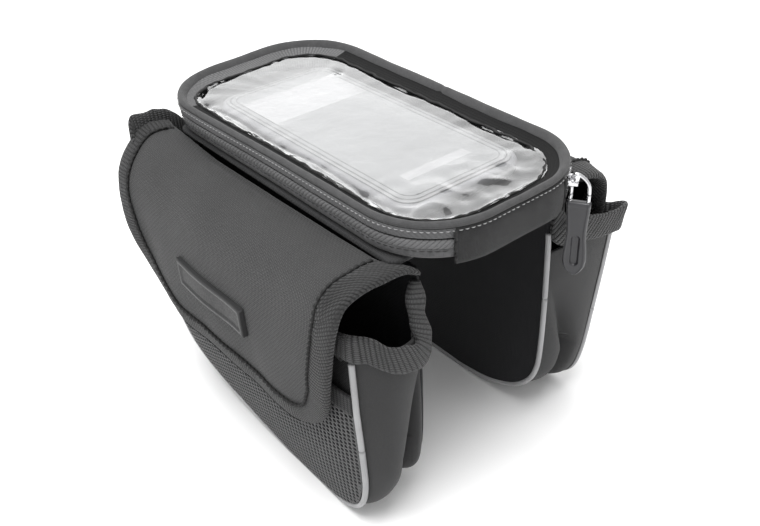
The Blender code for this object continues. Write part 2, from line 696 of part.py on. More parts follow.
def build_flap(label, side):
    half = FLAP_SHEET / 2
    top = SADDLE_BASE + 0.01
    flap = flap_piece(f"flap_{label}", half, half, [flap_outline(TAPE + GAP, top)], side, BLACK_CLOTH)
    ring = band(flap_outline(0, top), flap_outline(TAPE_WIDTH, top))
    thick = half + GAP + TAPE
    binding = flap_piece(f"flap_binding_{label}", thick, thick, [ring], side, BLACK_TAPE, -FLAP_BINDING_START)
    fold = [flap_outline(TAPE, top)]
    room = flap_piece(f"flap_room_{label}", half + GAP, half + GAP, fold, side, BLACK_TAPE, 0.002)
    combine(binding, room, "DIFFERENCE")

    # The badge and the hook patch lie on the steep part of the flap
    badge = build_badge(f"badge_{label}", side)
    hook = build_patch(f"hook_patch_{label}", side)
    loop_near = OUTER_OUT + GAP
    patch = box(-PATCH_LENGTH / 2, PATCH_MIDDLE - PATCH_HEIGHT / 2, PATCH_LENGTH / 2, PATCH_MIDDLE + PATCH_HEIGHT / 2)
    side_slab(f"loop_patch_{label}", [patch], loop_near, loop_near + PATCH_SHEET, side, HOOK_AND_LOOP)
    hinge = joint_empty(f"flap_hinge_{label}", (0, side * FLAP_HINGE_Y, SADDLE_BASE + FLAP_RISE))
    hang_on(hinge, flap, binding, badge, hook)


def build_badge(name, side):
    half = FLAP_SHEET / 2 + GAP
    middle = SADDLE_BASE - BADGE_DROP
    outline = rounded_rectangle(BADGE_LENGTH, BADGE_HEIGHT, 0.0015, 2)
    loop = [(BADGE_MIDDLE_X + u, middle + v) for u, v in outline]
    return flap_piece(name, -half, half + BADGE_SHEET, [loop], side, RUBBER)


def build_patch(name, side):
    half = FLAP_SHEET / 2 + GAP
    patch = box(-PATCH_LENGTH / 2, PATCH_MIDDLE - PATCH_HEIGHT / 2, PATCH_LENGTH / 2, PATCH_MIDDLE + PATCH_HEIGHT / 2)
    return flap_piece(name, half + PATCH_SHEET, -half, [patch], side, HOOK_AND_LOOP)


clear_scene()
build_case()
build_lid()
build_phone()
build_slider()
build_saddle()
for label, side in (("left", -1), ("right", 1)):
    build_panels(label, side)
    build_piping(label, side)
    build_rim(label, side)
    build_mesh_pocket(label, side)
    build_flap(label, side)
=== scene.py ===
# %% [markdown]
# # Top tube phone bag
# A phone case with a clear lid sits on a saddle, and a cloth bag hangs on each side of it. This notebook dresses the
# CAD frame: each cloth piece is a surface that follows the real cut, with its weave in metres on the surface.
# Lengths are in metres, and the frame's origin is the middle of the saddle's underside.

import json
import math

import bmesh
import bpy
import numpy as np
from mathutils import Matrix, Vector, noise

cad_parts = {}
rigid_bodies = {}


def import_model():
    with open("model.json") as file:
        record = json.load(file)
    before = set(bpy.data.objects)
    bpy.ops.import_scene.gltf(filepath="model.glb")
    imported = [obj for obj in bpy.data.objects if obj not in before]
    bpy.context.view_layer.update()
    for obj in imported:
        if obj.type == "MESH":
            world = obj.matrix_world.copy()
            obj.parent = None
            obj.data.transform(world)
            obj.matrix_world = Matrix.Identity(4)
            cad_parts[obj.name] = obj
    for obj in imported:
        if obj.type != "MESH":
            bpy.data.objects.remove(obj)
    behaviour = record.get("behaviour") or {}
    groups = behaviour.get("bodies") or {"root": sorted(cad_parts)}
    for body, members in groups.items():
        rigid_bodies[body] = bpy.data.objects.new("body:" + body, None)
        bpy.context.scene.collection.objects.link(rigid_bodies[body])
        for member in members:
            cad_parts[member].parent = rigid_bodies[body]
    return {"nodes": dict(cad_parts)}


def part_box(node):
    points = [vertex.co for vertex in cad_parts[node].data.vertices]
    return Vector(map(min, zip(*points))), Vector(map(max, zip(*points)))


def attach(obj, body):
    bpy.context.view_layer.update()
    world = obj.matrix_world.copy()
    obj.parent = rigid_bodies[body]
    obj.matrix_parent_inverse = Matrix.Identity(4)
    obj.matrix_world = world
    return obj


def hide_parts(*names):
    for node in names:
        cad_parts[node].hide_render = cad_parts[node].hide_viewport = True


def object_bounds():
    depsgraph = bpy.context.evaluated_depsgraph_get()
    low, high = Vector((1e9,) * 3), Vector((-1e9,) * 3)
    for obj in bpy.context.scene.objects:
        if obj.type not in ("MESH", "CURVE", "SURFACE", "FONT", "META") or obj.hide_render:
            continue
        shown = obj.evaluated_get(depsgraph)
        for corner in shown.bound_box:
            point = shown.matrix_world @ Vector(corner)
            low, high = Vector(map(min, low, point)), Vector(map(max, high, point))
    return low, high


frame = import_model()
cad_box = [[float(v) for v in corner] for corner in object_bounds()]
print("CAD box", cad_box)


def z_range(node):
    low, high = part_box(node)
    return low[2], high[2]


GROUND = cad_box[0][2]
RING_LOW, RING_HIGH = z_range("lid_ring")
WALL_LOW = z_range("case_wall")[0]
WALL_TOP = z_range("zip_tape_upper")[1]
SLIT = (z_range("zip_tape_lower")[1] + z_range("zip_tape_upper")[0]) / 2
print("heights of ground, wall, slit, ring", GROUND, WALL_LOW, SLIT, RING_LOW, RING_HIGH)

# %% [markdown]
# ## Building surfaces
# Most pieces are grids of points. `sheet_mesh` turns a grid into a mesh and lays a map on it that is measured in
# metres, so a weave keeps its real size on every piece.


# %% Mesh helpers
def add_object(name, verts, faces, corner_uvs, material):
    mesh = bpy.data.meshes.new(name)
    mesh.from_pydata([tuple(v) for v in verts], [], faces)
    layer = mesh.uv_layers.new(name="cloth")
    layer.data.foreach_set("uv", np.asarray(corner_uvs, dtype=np.float32).ravel())
    mesh.polygons.foreach_set("use_smooth", [True] * len(mesh.polygons))
    mesh.materials.append(material)
    mesh.validate()
    obj = bpy.data.objects.new(name, mesh)
    bpy.context.scene.collection.objects.link(obj)
    return obj


def metric_axes(points, closed_u, closed_v):
    """Lengths along each way of a grid, at its middle, with one more value where the grid closes."""
    along = points[:, points.shape[1] // 2]
    across = points[points.shape[0] // 2]
    if closed_u:
        along = np.vstack([along, along[:1]])
    if closed_v:
        across = np.vstack([across, across[:1]])
    lengths = []
    for line in (along, across):
        steps = np.linalg.norm(np.diff(line, axis=0), axis=1)
        lengths.append(np.concatenate([[0.0], np.cumsum(steps)]))
    return lengths


def face_out(obj):
    """Turns the faces of a closed piece outward."""
    mesh = bmesh.new()
    mesh.from_mesh(obj.data)
    bmesh.ops.recalc_face_normals(mesh, faces=mesh.faces)
    mesh.to_mesh(obj.data)
    mesh.free()
    return obj


def sheet_mesh(name, points, material, closed_u=False, closed_v=False, uv=None, caps=False, flip=False):
    """A grid of points as a mesh. uv, if given, holds a pair for each point of an open grid."""
    n, m = points.shape[:2]
    u, v = metric_axes(points, closed_u, closed_v)
    faces, corners = [], []
    for i in range(n if closed_u else n - 1):
        for j in range(m if closed_v else m - 1):
            quad = [(i, j), (i + 1, j), (i + 1, j + 1), (i, j + 1)]
            if flip:
                quad.reverse()
            faces.append([(a % n) * m + b % m for a, b in quad])
            for a, b in quad:
                corners.append((u[a], v[b]) if uv is None else tuple(uv[a, b]))
    if caps and closed_v:
        for i in (0, n - 1):
            loop = [i * m + j for j in range(m)]
            if (i == 0) == flip:
                loop.reverse()
            faces.append(loop if i else loop[::-1])
            corners += [(u[i], v[j]) for j in (range(m) if i else reversed(range(m)))]
    obj = add_object(name, points.reshape(-1, 3), faces, corners, material)
    return face_out(obj) if closed_v else obj


def thicken(obj, thickness, offset=-1.0, inside=None):
    """Gives a surface thickness. inside is a material for its back, such as the inner side of a bag, painted
    near-black as painted shade.
    """
    modifier = obj.modifiers.new("thickness", "SOLIDIFY")
    if inside is not None:
        obj.data.materials.append(inside)
        modifier.material_offset = 1
    modifier.thickness = thickness
    modifier.offset = offset
    modifier.use_rim = True
    return obj


def smooth_line(knots, count):
    """A smooth curve through the knots, with points spaced evenly along it."""
    knots = np.asarray(knots, dtype=float)
    ends = np.vstack([2 * knots[0] - knots[1], knots, 2 * knots[-1] - knots[-2]])
    fine = []
    for a, b, c, d in zip(ends, ends[1:], ends[2:], ends[3:]):
        for t in np.linspace(0, 1, 24, endpoint=False):
            fine.append(
                0.5 * (2 * b + (c - a) * t + (2 * a - 5 * b + 4 * c - d) * t**2 + (3 * b - a - 3 * c + d) * t**3)
            )
    fine = np.array(fine + [knots[-1]])
    steps = np.concatenate([[0], np.cumsum(np.linalg.norm(np.diff(fine, axis=0), axis=1))])
    even = np.linspace(0, steps[-1], count)
    return np.stack([np.interp(even, steps, fine[:, k]) for k in range(fine.shape[1])], axis=1)


def unit(vectors):
    return vectors / np.maximum(np.linalg.norm(vectors, axis=-1, keepdims=True), 1e-12)


def tangents(path, closed):
    if closed:
        return unit(np.roll(path, -1, axis=0) - np.roll(path, 1, axis=0))
    return unit(np.gradient(path, axis=0))


def sweep(name, path, outward, section, material, closed=False, flip=False):
    """A closed section, as (outward, upward) pairs, carried along a path. Open sweeps get end caps."""
    run = tangents(path, closed)
    outward = unit(outward - run * np.sum(outward * run, axis=1, keepdims=True))
    upward = np.cross(run, outward)
    upward *= np.where(upward[:, 2:3] < 0, -1, 1)
    section = np.asarray(section)
    if section.ndim == 2:
        section = np.repeat(section[None], len(path), axis=0)
    points = path[:, None] + outward[:, None] * section[:, :, :1] + upward[:, None] * section[:, :, 1:]
    return sheet_mesh(name, points, material, closed_u=closed, closed_v=True, caps=not closed, flip=flip)


def circle(radius, count=12):
    turn = np.linspace(0, 2 * math.pi, count, endpoint=False)
    return np.stack([radius * np.cos(turn), radius * np.sin(turn)], axis=1)


NOISE_TO_ONE = 1.6  # the noise stays within about -0.6 and 0.6


def wave(x, seed, scale):
    """Smooth noise of one number, about -1 to 1, the same on each run."""
    values = [noise.noise(Vector((float(v) / scale, seed * 7.31, seed * 1.7))) for v in np.atleast_1d(x)]
    return np.array(values) * NOISE_TO_ONE


def join(name, parts):
    """Several small pieces of one kind as one object."""
    context = {"active_object": parts[0], "object": parts[0], "selected_objects": parts}
    context["selected_editable_objects"] = parts
    with bpy.context.temp_override(**context):
        bpy.ops.object.join()
    parts[0].name = name
    return parts[0]


def stitches(name, path, normals, material, length=0.0024, gap=0.0010, radius=0.00028):
    """A row of thread stitches, each a thin bead that dips at both ends."""
    steps = np.concatenate([[0], np.cumsum(np.linalg.norm(np.diff(path, axis=0), axis=1))])
    starts = np.arange(0, steps[-1] - length, length + gap)
    verts, faces, corners = [], [], []
    rings, sides = 5, 6
    for start in starts:
        base = len(verts)
        for i in range(rings):
            share = i / (rings - 1)
            at = start + length * share
            middle = np.array([np.interp(at, steps, path[:, k]) for k in range(3)])
            ahead = np.array([np.interp(at + 1e-4, steps, path[:, k]) for k in range(3)])
            normal = np.array([np.interp(at, steps, normals[:, k]) for k in range(3)])
            along = unit(ahead - middle + 1e-12)
            side = unit(np.cross(along, normal))
            arch = math.sin(math.pi * share)
            thick = radius * (0.45 + 0.55 * arch)
            middle = middle + normal * radius * (1.4 * arch - 0.5)
            for j in range(sides):
                turn = 2 * math.pi * j / sides
                verts.append(middle + (side * math.cos(turn) + normal * math.sin(turn)) * thick)
        for i in range(rings - 1):
            for j in range(sides):
                k = (j + 1) % sides
                quad = [base + i * sides + j, base + i * sides + k]
                quad += [base + (i + 1) * sides + k, base + (i + 1) * sides + j]
                faces.append(quad)
                corners += [(at, 0), (at, 0.001), (at + 0.001, 0.001), (at + 0.001, 0)]
        for i in (0, rings - 1):
            loop = [base + i * sides + j for j in range(sides)]
            faces.append(loop[::-1] if i == 0 else loop)
            corners += [(at, 0)] * sides
    return face_out(add_object(name, verts, faces, corners, material))


def settle(obj, body, slot, *nodes):
    """Rides on the body and stands for the CAD nodes, which it hides. Its slot, the record's finish, is not used."""
    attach(obj, body)
    if nodes:
        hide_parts(*nodes)
    return obj


# %% [markdown]
# ## Shared effects
# Each effect is a node group with named inputs. `Plain weave` gives the over-and-under of crossed threads,
# `Herringbone` the slanted ribs of the zip's tape, `Ribbed webbing` the columns of bumps across a binding tape, and
# `Cloth wear` the soft mottling and lint that keep a cloth from looking printed.


# %% Node groups
class Graph:
    """Adds shader nodes to a tree and links them."""

    def __init__(self, tree):
        self.tree = tree

    def add(self, kind, **settings):
        node = self.tree.nodes.new(kind)
        for key, value in settings.items():
            setattr(node, key, value)
        return node

    def link(self, value, socket):
        if isinstance(value, bpy.types.NodeSocket):
            self.tree.links.new(value, socket)
        else:
            socket.default_value = value

    def math(self, operation, *values, clamp=False):
        node = self.add("ShaderNodeMath", operation=operation, use_clamp=clamp)
        for value, socket in zip(values, node.inputs):
            self.link(value, socket)
        return node.outputs[0]

    def vector(self, operation, *values):
        node = self.add("ShaderNodeVectorMath", operation=operation)
        for value, socket in zip(values, node.inputs):
            self.link(value, socket)
        return node.outputs[0]

    def split(self, vector):
        node = self.add("ShaderNodeSeparateXYZ")
        self.link(vector, node.inputs[0])
        return node.outputs

    def blend(self, share, a, b):
        node = self.add("ShaderNodeMix", data_type="FLOAT")
        self.link(share, node.inputs[0])
        self.link(a, node.inputs[2])
        self.link(b, node.inputs[3])
        return node.outputs[0]

    def step(self, value, low, high, to_low=0.0, to_high=1.0):
        node = self.add("ShaderNodeMapRange", interpolation_type="SMOOTHSTEP")
        for socket, given in zip(node.inputs, (value, low, high, to_low, to_high)):
            self.link(given, socket)
        return node.outputs[0]

    def noise(self, vector, scale, detail=3.0, roughness=0.55):
        node = self.add("ShaderNodeTexNoise")
        self.link(vector, node.inputs["Vector"])
        self.link(scale, node.inputs["Scale"])
        self.link(detail, node.inputs["Detail"])
        self.link(roughness, node.inputs["Roughness"])
        return node.outputs[0]


def new_group(name, inputs, outputs):
    """An empty node group with its sockets, as (name, default) pairs, where a None default is a vector."""
    tree = bpy.data.node_groups.new(name, "ShaderNodeTree")
    for label, default in inputs:
        kind = "NodeSocketVector" if default is None else "NodeSocketFloat"
        socket = tree.interface.new_socket(name=label, in_out="INPUT", socket_type=kind)
        if default is not None:
            socket.default_value = default
    for label in outputs:
        tree.interface.new_socket(name=label, in_out="OUTPUT", socket_type="NodeSocketFloat")
    graph = Graph(tree)
    start, end = graph.add("NodeGroupInput"), graph.add("NodeGroupOutput")
    return graph, start.outputs, end.inputs


def plain_weave_group():
    inputs = [("Vector", None), ("Thread X", 0.001), ("Thread Y", 0.001), ("Float", 0.45)]
    g, given, out = new_group("Plain weave", inputs, ["Height", "Gap shade"])
    x, y, _ = g.split(given["Vector"])
    u, v = g.math("DIVIDE", x, given["Thread X"]), g.math("DIVIDE", y, given["Thread Y"])
    across = g.math("SINE", g.math("MULTIPLY", g.math("FRACT", u), math.pi))
    along = g.math("SINE", g.math("MULTIPLY", g.math("FRACT", v), math.pi))
    cells = g.math("ADD", g.math("FLOOR", u), g.math("FLOOR", v))
    over = g.math("FLOORED_MODULO", cells, 2.0)
    rest = g.math("SUBTRACT", 1.0, given["Float"])
    warp = g.math("MULTIPLY", g.math("POWER", across, 0.6), g.math("MULTIPLY_ADD", along, given["Float"], rest))
    weft = g.math("MULTIPLY", g.math("POWER", along, 0.6), g.math("MULTIPLY_ADD", across, given["Float"], rest))
    height = g.blend(over, warp, weft)
    g.link(height, out["Height"])
    # The gap output is a painted shade mask: the low places between threads, which darken the colour.
    g.link(g.step(height, 0.05, 0.55, 1.0, 0.0), out["Gap shade"])
    return g.tree


def herringbone_group():
    inputs = [("Vector", None), ("Rib", 0.0022), ("Slant", 1.0), ("Slit", 0.0006)]
    g, given, out = new_group("Herringbone", inputs, ["Height", "Gap shade"])
    x, y, _ = g.split(given["Vector"])
    away = g.math("ABSOLUTE", y)
    shifted = g.math("MULTIPLY_ADD", away, given["Slant"], x)
    rib = g.math("SINE", g.math("MULTIPLY", g.math("FRACT", g.math("DIVIDE", shifted, given["Rib"])), math.pi))
    fine = g.math("SINE", g.math("DIVIDE", g.math("MULTIPLY", away, 2 * math.pi), 0.0007))
    height = g.math("MULTIPLY", g.math("POWER", rib, 0.5), g.math("MULTIPLY_ADD", fine, 0.12, 0.88))
    g.link(height, out["Height"])
    # The gap output is a painted shade mask: the low places between the ribs, which darken the colour.
    g.link(g.step(height, 0.0, 0.6, 1.0, 0.0), out["Gap shade"])
    return g.tree


def ribbed_webbing_group():
    inputs = [("Vector", None), ("Column", 0.0021), ("Bump", 0.0012), ("Float", 0.45)]
    g, given, out = new_group("Ribbed webbing", inputs, ["Height", "Gap shade"])
    x, y, _ = g.split(given["Vector"])
    u = g.math("DIVIDE", x, given["Column"])
    odd = g.math("MULTIPLY", g.math("FLOORED_MODULO", g.math("FLOOR", u), 2.0), 0.5)
    v = g.math("ADD", g.math("DIVIDE", y, given["Bump"]), odd)
    across = g.math("SINE", g.math("MULTIPLY", g.math("FRACT", u), math.pi))
    along = g.math("SINE", g.math("MULTIPLY", g.math("FRACT", v), math.pi))
    rest = g.math("SUBTRACT", 1.0, given["Float"])
    height = g.math("MULTIPLY", g.math("POWER", across, 0.7), g.math("MULTIPLY_ADD", along, given["Float"], rest))
    g.link(height, out["Height"])
    # The gap output is a painted shade mask: the low places between the bumps, which darken the colour.
    g.link(g.step(height, 0.15, 0.85, 1.0, 0.0), out["Gap shade"])
    return g.tree


def cloth_wear_group():
    inputs = [("Vector", None), ("Patch size", 0.03), ("Lint", 0.35)]
    g, given, out = new_group("Cloth wear", inputs, ["Shade", "Lint"])
    broad = g.noise(given["Vector"], g.math("DIVIDE", 1.0, given["Patch size"]), 4.0)
    fine = g.noise(given["Vector"], 900.0, 2.0)
    mixed = g.math("ADD", g.math("MULTIPLY", broad, 0.6), g.math("MULTIPLY", fine, 0.4))
    g.link(g.step(mixed, 0.30, 0.70, -1.0, 1.0), out["Shade"])
    specks = g.noise(given["Vector"], 420.0, 1.0)
    g.link(g.math("MULTIPLY", g.step(specks, 0.74, 0.80), given["Lint"]), out["Lint"])
    return g.tree


GROUPS = {
    "weave": plain_weave_group(),
    "zip": herringbone_group(),
    "webbing": ribbed_webbing_group(),
    "wear": cloth_wear_group(),
}
print("node groups", sorted(GROUPS))

# %% [markdown]
# ## Materials
# The cloth materials share one recipe: a pattern group gives the height of the threads, the gaps between them
# darken the colour as painted shade, and the wear group shifts it a little from place to place.


# %% Cloth materials
def new_material(name):
    made = bpy.data.materials.new(name)
    made.use_nodes = True
    made.node_tree.nodes.clear()
    g = Graph(made.node_tree)
    shader, end = g.add("ShaderNodeBsdfPrincipled"), g.add("ShaderNodeOutputMaterial")
    g.tree.links.new(shader.outputs[0], end.inputs[0])
    return made, g, shader


def use_group(g, name, vector, **values):
    node = g.add("ShaderNodeGroup", node_tree=GROUPS[name])
    g.link(vector, node.inputs["Vector"])
    for key, value in values.items():
        node.inputs[key.replace("_", " ")].default_value = value
    return node.outputs


def cloth(name, colour, pattern, roughness=0.85, sheen=0.10, depth=0.00025, gap_shade=0.55, vary=0.14, lint=0.3,
          mapped=True, spread=0.03, **values):
    """A cloth material. mapped cloth uses the metric map, and other cloth the object's own metres."""
    made, g, shader = new_material(name)
    if mapped:
        place = g.add("ShaderNodeUVMap", uv_map="cloth").outputs[0]
    else:
        place = g.add("ShaderNodeTexCoord").outputs["Object"]
    around = g.add("ShaderNodeTexCoord").outputs["Object"]
    thread = use_group(g, pattern, place, **values)
    wear = use_group(g, "wear", around, Patch_size=spread, Lint=lint)
    gap = thread["Gap shade"]
    tone = g.math("MULTIPLY_ADD", wear["Shade"], vary, 1.0)
    # Painted shade: the colour is darkened in the gaps between threads.
    tone = g.math("MULTIPLY", tone, g.math("MULTIPLY_ADD", gap, -gap_shade, 1.0))
    tone = g.math("MULTIPLY_ADD", wear["Lint"], 0.9, tone)
    mix = g.add("ShaderNodeMix", data_type="RGBA", blend_type="MULTIPLY")
    mix.inputs[0].default_value = 1.0
    mix.inputs[6].default_value = (*colour, 1)
    paint = g.add("ShaderNodeCombineColor")
    for socket in paint.inputs:
        g.link(tone, socket)
    g.tree.links.new(paint.outputs[0], mix.inputs[7])
    g.tree.links.new(mix.outputs[2], shader.inputs["Base Color"])
    bump = g.add("ShaderNodeBump")
    bump.inputs["Strength"].default_value = 1.0
    bump.inputs["Distance"].default_value = depth
    height = thread["Height"]
    fuzz = g.noise(around, 2600.0, 2.0)
    g.link(g.math("MULTIPLY_ADD", fuzz, 0.35, height), bump.inputs["Height"])
    g.tree.links.new(bump.outputs[0], shader.inputs["Normal"])
    shader.inputs["Roughness"].default_value = roughness
    shader.inputs["Sheen Weight"].default_value = sheen
    shader.inputs["Sheen Roughness"].default_value = 0.45
    shader.inputs["Specular IOR Level"].default_value = 0.30
    return made


FLAP_CLOTH = cloth("flap_cloth", (0.036, 0.036, 0.0365), "weave", Thread_X=0.00105, Thread_Y=0.00105, depth=0.00030,
                   gap_shade=0.50, vary=0.10)
OUTER_CLOTH = cloth("outer_cloth", (0.006, 0.006, 0.0065), "weave", Thread_X=0.0010, Thread_Y=0.0010, gap_shade=0.4,
                    sheen=0.02)
BLACK_CLOTH = cloth("black_cloth", (0.0058, 0.0060, 0.0074), "weave", Thread_X=0.0009, Thread_Y=0.0009, depth=0.00015,
                    sheen=0.02)
GUSSET_CLOTH = cloth("gusset_cloth", (0.022, 0.022, 0.0225), "weave", Thread_X=0.0005, Thread_Y=0.0005,
                     depth=0.00008, gap_shade=0.25, roughness=0.75, vary=0.10)
CASE_CLOTH = cloth("case_cloth", (0.085, 0.085, 0.087), "weave", Thread_X=0.0006, Thread_Y=0.0006,
                   depth=0.00012, gap_shade=0.35, vary=0.25, spread=0.004)
END_CLOTH = cloth("end_cloth", (0.016, 0.016, 0.0165), "weave", Thread_X=0.0006, Thread_Y=0.0006,
                  depth=0.00012, gap_shade=0.35, vary=0.25, spread=0.004)
RING_CLOTH = cloth("ring_cloth", (0.052, 0.052, 0.053), "weave", Thread_X=0.0006, Thread_Y=0.0006,
                   depth=0.00010, gap_shade=0.30, vary=0.16, spread=0.005)
WEBBING = cloth("webbing", (0.024, 0.024, 0.0245), "webbing", Column=0.00190, Bump=0.0012, depth=0.00060, gap_shade=0.88,
                roughness=0.70)
RIM_WEBBING = cloth("rim_webbing", (0.042, 0.042, 0.043), "webbing", Column=0.0021, Bump=0.0012, depth=0.00100,
                    gap_shade=0.98, roughness=0.65)
HEM_CLOTH = cloth("hem_cloth", (0.020, 0.020, 0.021), "webbing", Column=0.0021, Bump=0.0012, depth=0.0003, gap_shade=0.6)
ZIP_TAPE = cloth("zip_tape", (0.120, 0.120, 0.122), "zip", depth=0.00045, gap_shade=0.75, roughness=0.65)
ZIP_TAPE_SOFT = cloth("zip_tape_soft", (0.085, 0.085, 0.087), "zip", depth=0.00030, gap_shade=0.55, roughness=0.70)
NET = cloth("net", (0.050, 0.050, 0.051), "weave", Thread_X=0.00035, Thread_Y=0.00035, depth=0.00010,
            gap_shade=0.2, roughness=0.55, vary=0.08)
LINING = cloth("lining", (0.110, 0.110, 0.112), "webbing", Column=0.0014, Bump=0.0030, depth=0.0003, gap_shade=0.45)
# Near-black painted shade for the insides of the bags and the backs of the flaps, where deep shadow falls.
INNER_PAINTED_SHADE = cloth("inner_painted_shade", (0.0022, 0.0022, 0.0024), "weave", Thread_X=0.0008, Thread_Y=0.0008, gap_shade=0.4,
                   sheen=0.0)
STRAP_CLOTH = cloth("strap_cloth", (0.030, 0.030, 0.030), "webbing", Column=0.0016, Bump=0.0012, depth=0.0004)
SADDLE_CLOTH = cloth("saddle_cloth", (0.030, 0.030, 0.031), "weave", Thread_X=0.0009, Thread_Y=0.0009, mapped=False)
CUSHION_CLOTH = cloth("cushion_cloth", (0.050, 0.050, 0.052), "weave", Thread_X=0.0009, Thread_Y=0.0009, mapped=False)


# %% [markdown]
# The other materials are plastic, rubber, metal and the clear film. Each has its own grain or wear.


# %% Hard materials
def smooth_finish(name, colour, roughness, grain=900.0, depth=0.00004, vary=0.12, metallic=0.0, coat=0.0,
                  spread=60.0):
    made, g, shader = new_material(name)
    place = g.add("ShaderNodeTexCoord").outputs["Object"]
    broad, fine = g.noise(place, spread, 3.0), g.noise(place, grain, 3.0)
    ramp = g.add("ShaderNodeMix", data_type="RGBA")
    g.link(g.step(broad, 0.3, 0.7), ramp.inputs[0])
    ramp.inputs[6].default_value = (*[c * (1 - vary) for c in colour], 1)
    ramp.inputs[7].default_value = (*[min(1, c * (1 + vary)) for c in colour], 1)
    g.tree.links.new(ramp.outputs[2], shader.inputs["Base Color"])
    g.link(g.step(fine, 0.25, 0.75, roughness * 0.85, min(1, roughness * 1.15)), shader.inputs["Roughness"])
    bump = g.add("ShaderNodeBump")
    bump.inputs["Distance"].default_value = depth
    g.link(fine, bump.inputs["Height"])
    g.tree.links.new(bump.outputs[0], shader.inputs["Normal"])
    shader.inputs["Metallic"].default_value = metallic
    shader.inputs["Coat Weight"].default_value = coat
    return made


PIPING = smooth_finish("reflective_piping", (0.27, 0.27, 0.275), 0.42, grain=2500.0, depth=0.00005, vary=0.10)
BLACK_THREAD = smooth_finish("black_thread", (0.005, 0.005, 0.005), 0.75, grain=3000.0)
PALE_THREAD = smooth_finish("pale_thread", (0.26, 0.26, 0.262), 0.60, grain=3000.0)
RUBBER = smooth_finish("pull_rubber", (0.026, 0.026, 0.029), 0.40, grain=1800.0, depth=0.00003)
BADGE_RUBBER = smooth_finish("badge_rubber", (0.016, 0.016, 0.0165), 0.50, grain=1500.0, depth=0.00006)
BADGE_FACE = smooth_finish("badge_face", (0.011, 0.011, 0.0115), 0.60, grain=1100.0, depth=0.00006)
STEEL = smooth_finish("slider_steel", (0.58, 0.58, 0.59), 0.20, grain=1400.0, depth=0.00002, metallic=1.0)
PHONE_SHELL = smooth_finish("phone_shell", (0.20, 0.20, 0.21), 0.30, vary=0.05)
SCREEN = smooth_finish("screen_pale", (0.225, 0.228, 0.231), 0.25, vary=0.06, depth=0.0, spread=18.0)
SCREEN_LIGHT = smooth_finish("screen_light", (0.33, 0.33, 0.335), 0.25, vary=0.04, depth=0.0)
SCREEN_LINE = smooth_finish("screen_line", (0.07, 0.07, 0.073), 0.25, vary=0.03)
HOOKS = smooth_finish("hook_and_loop", (0.016, 0.016, 0.016), 0.9, grain=2200.0, depth=0.0006)


def film_material():
    """Clear film: a mirror that is mostly see-through, and less so at a low angle."""
    made, g, shader = new_material("clear_film")
    shader.inputs["Base Color"].default_value = (0.97, 0.975, 0.98, 1)
    shader.inputs["Metallic"].default_value = 1.0
    shader.inputs["Roughness"].default_value = 0.07
    fresnel = g.add("ShaderNodeFresnel")
    fresnel.inputs[0].default_value = 1.55
    place = g.add("ShaderNodeTexCoord").outputs["Object"]
    bump = g.add("ShaderNodeBump")
    bump.inputs["Strength"].default_value = 1.0
    bump.inputs["Distance"].default_value = 0.0003
    g.link(g.noise(place, 70.0, 2.0), bump.inputs["Height"])
    g.tree.links.new(bump.outputs[0], shader.inputs["Normal"])
    g.tree.links.new(bump.outputs[0], fresnel.inputs["Normal"])
    g.link(g.math("MULTIPLY_ADD", fresnel.outputs[0], 1.9, 0.01, clamp=True), shader.inputs["Alpha"])
    return made


FILM_CLEAR = film_material()
print("materials", len(bpy.data.materials))

# %% [markdown]
# ## The case
# The case's outline in plan is a rounded rectangle. `case_line` gives points on it from one distance along it to
# another, so every band of the wall, the zip and the ring shares one curve. Distance zero is the middle of the
# hinged end, and it grows towards +Y. A filled soft case isn't straight: `BOW` says how far its wall stands out at
# places round it, and the bow fades out towards the floor of the case, which is sewn to a stiff base.

# %% The case's outline
HALF_LENGTH = abs(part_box("zip_tape_lower")[0][0])
HALF_WIDTH = abs(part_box("zip_tape_lower")[0][1])
CORNER = 0.034
BOW = [(102, 2, 0.2), (101, 15, 0.1), (96.8, 32.5, 0.0), (90, 40, 0.5), (63, 48.5, 2.0), (34, 48.5, 2.0),
       (-8, 48.5, 3.4), (-45, 48.5, 3.6), (-80, 46, 4.8), (-93, 37, 5.0), (-101, 20, 4.0), (-102, 0, 1.6),
       (-98, -25, 0.2), (-86, -43.3, 2.6), (-73, -48, 4.2), (-41, -48.5, 3.4), (0, -48.5, 1.8), (36, -48.5, 1.8),
       (70, -48.5, 1.4), (92, -38.5, 0.7)]


def outline_table():
    """Dense points on the outline, with outward normals and the distance along it."""
    points, normals = [], []
    ix, iy = HALF_LENGTH - CORNER, HALF_WIDTH - CORNER
    for x, y, start in ((ix, iy, 0), (-ix, iy, 90), (-ix, -iy, 180), (ix, -iy, 270)):
        for step in range(61):
            turn = math.radians(start + 1.5 * step)
            normal = np.array([math.cos(turn), math.sin(turn)])
            points.append(np.array([x, y]) + normal * CORNER)
            normals.append(normal)
    points, normals = np.array(points), np.array(normals)
    middle = np.array([[HALF_LENGTH, 0.0]])
    points = np.vstack([middle, points, middle])
    normals = np.vstack([[[1.0, 0.0]], normals, [[1.0, 0.0]]])
    length = np.concatenate([[0], np.cumsum(np.linalg.norm(np.diff(points, axis=0), axis=1))])
    return points, normals, length


OUTLINE, OUTLINE_NORMALS, OUTLINE_LENGTH = outline_table()
AROUND = OUTLINE_LENGTH[-1]
EVEN = np.linspace(0, AROUND, 1200)
EVEN_POINTS = np.stack([np.interp(EVEN, OUTLINE_LENGTH, OUTLINE[:, k]) for k in range(2)], axis=1)


def place_on_outline(x, y):
    """How far along the outline its nearest point to a place lies."""
    return EVEN[np.argmin(np.linalg.norm(EVEN_POINTS - np.array([x, y]), axis=1))]


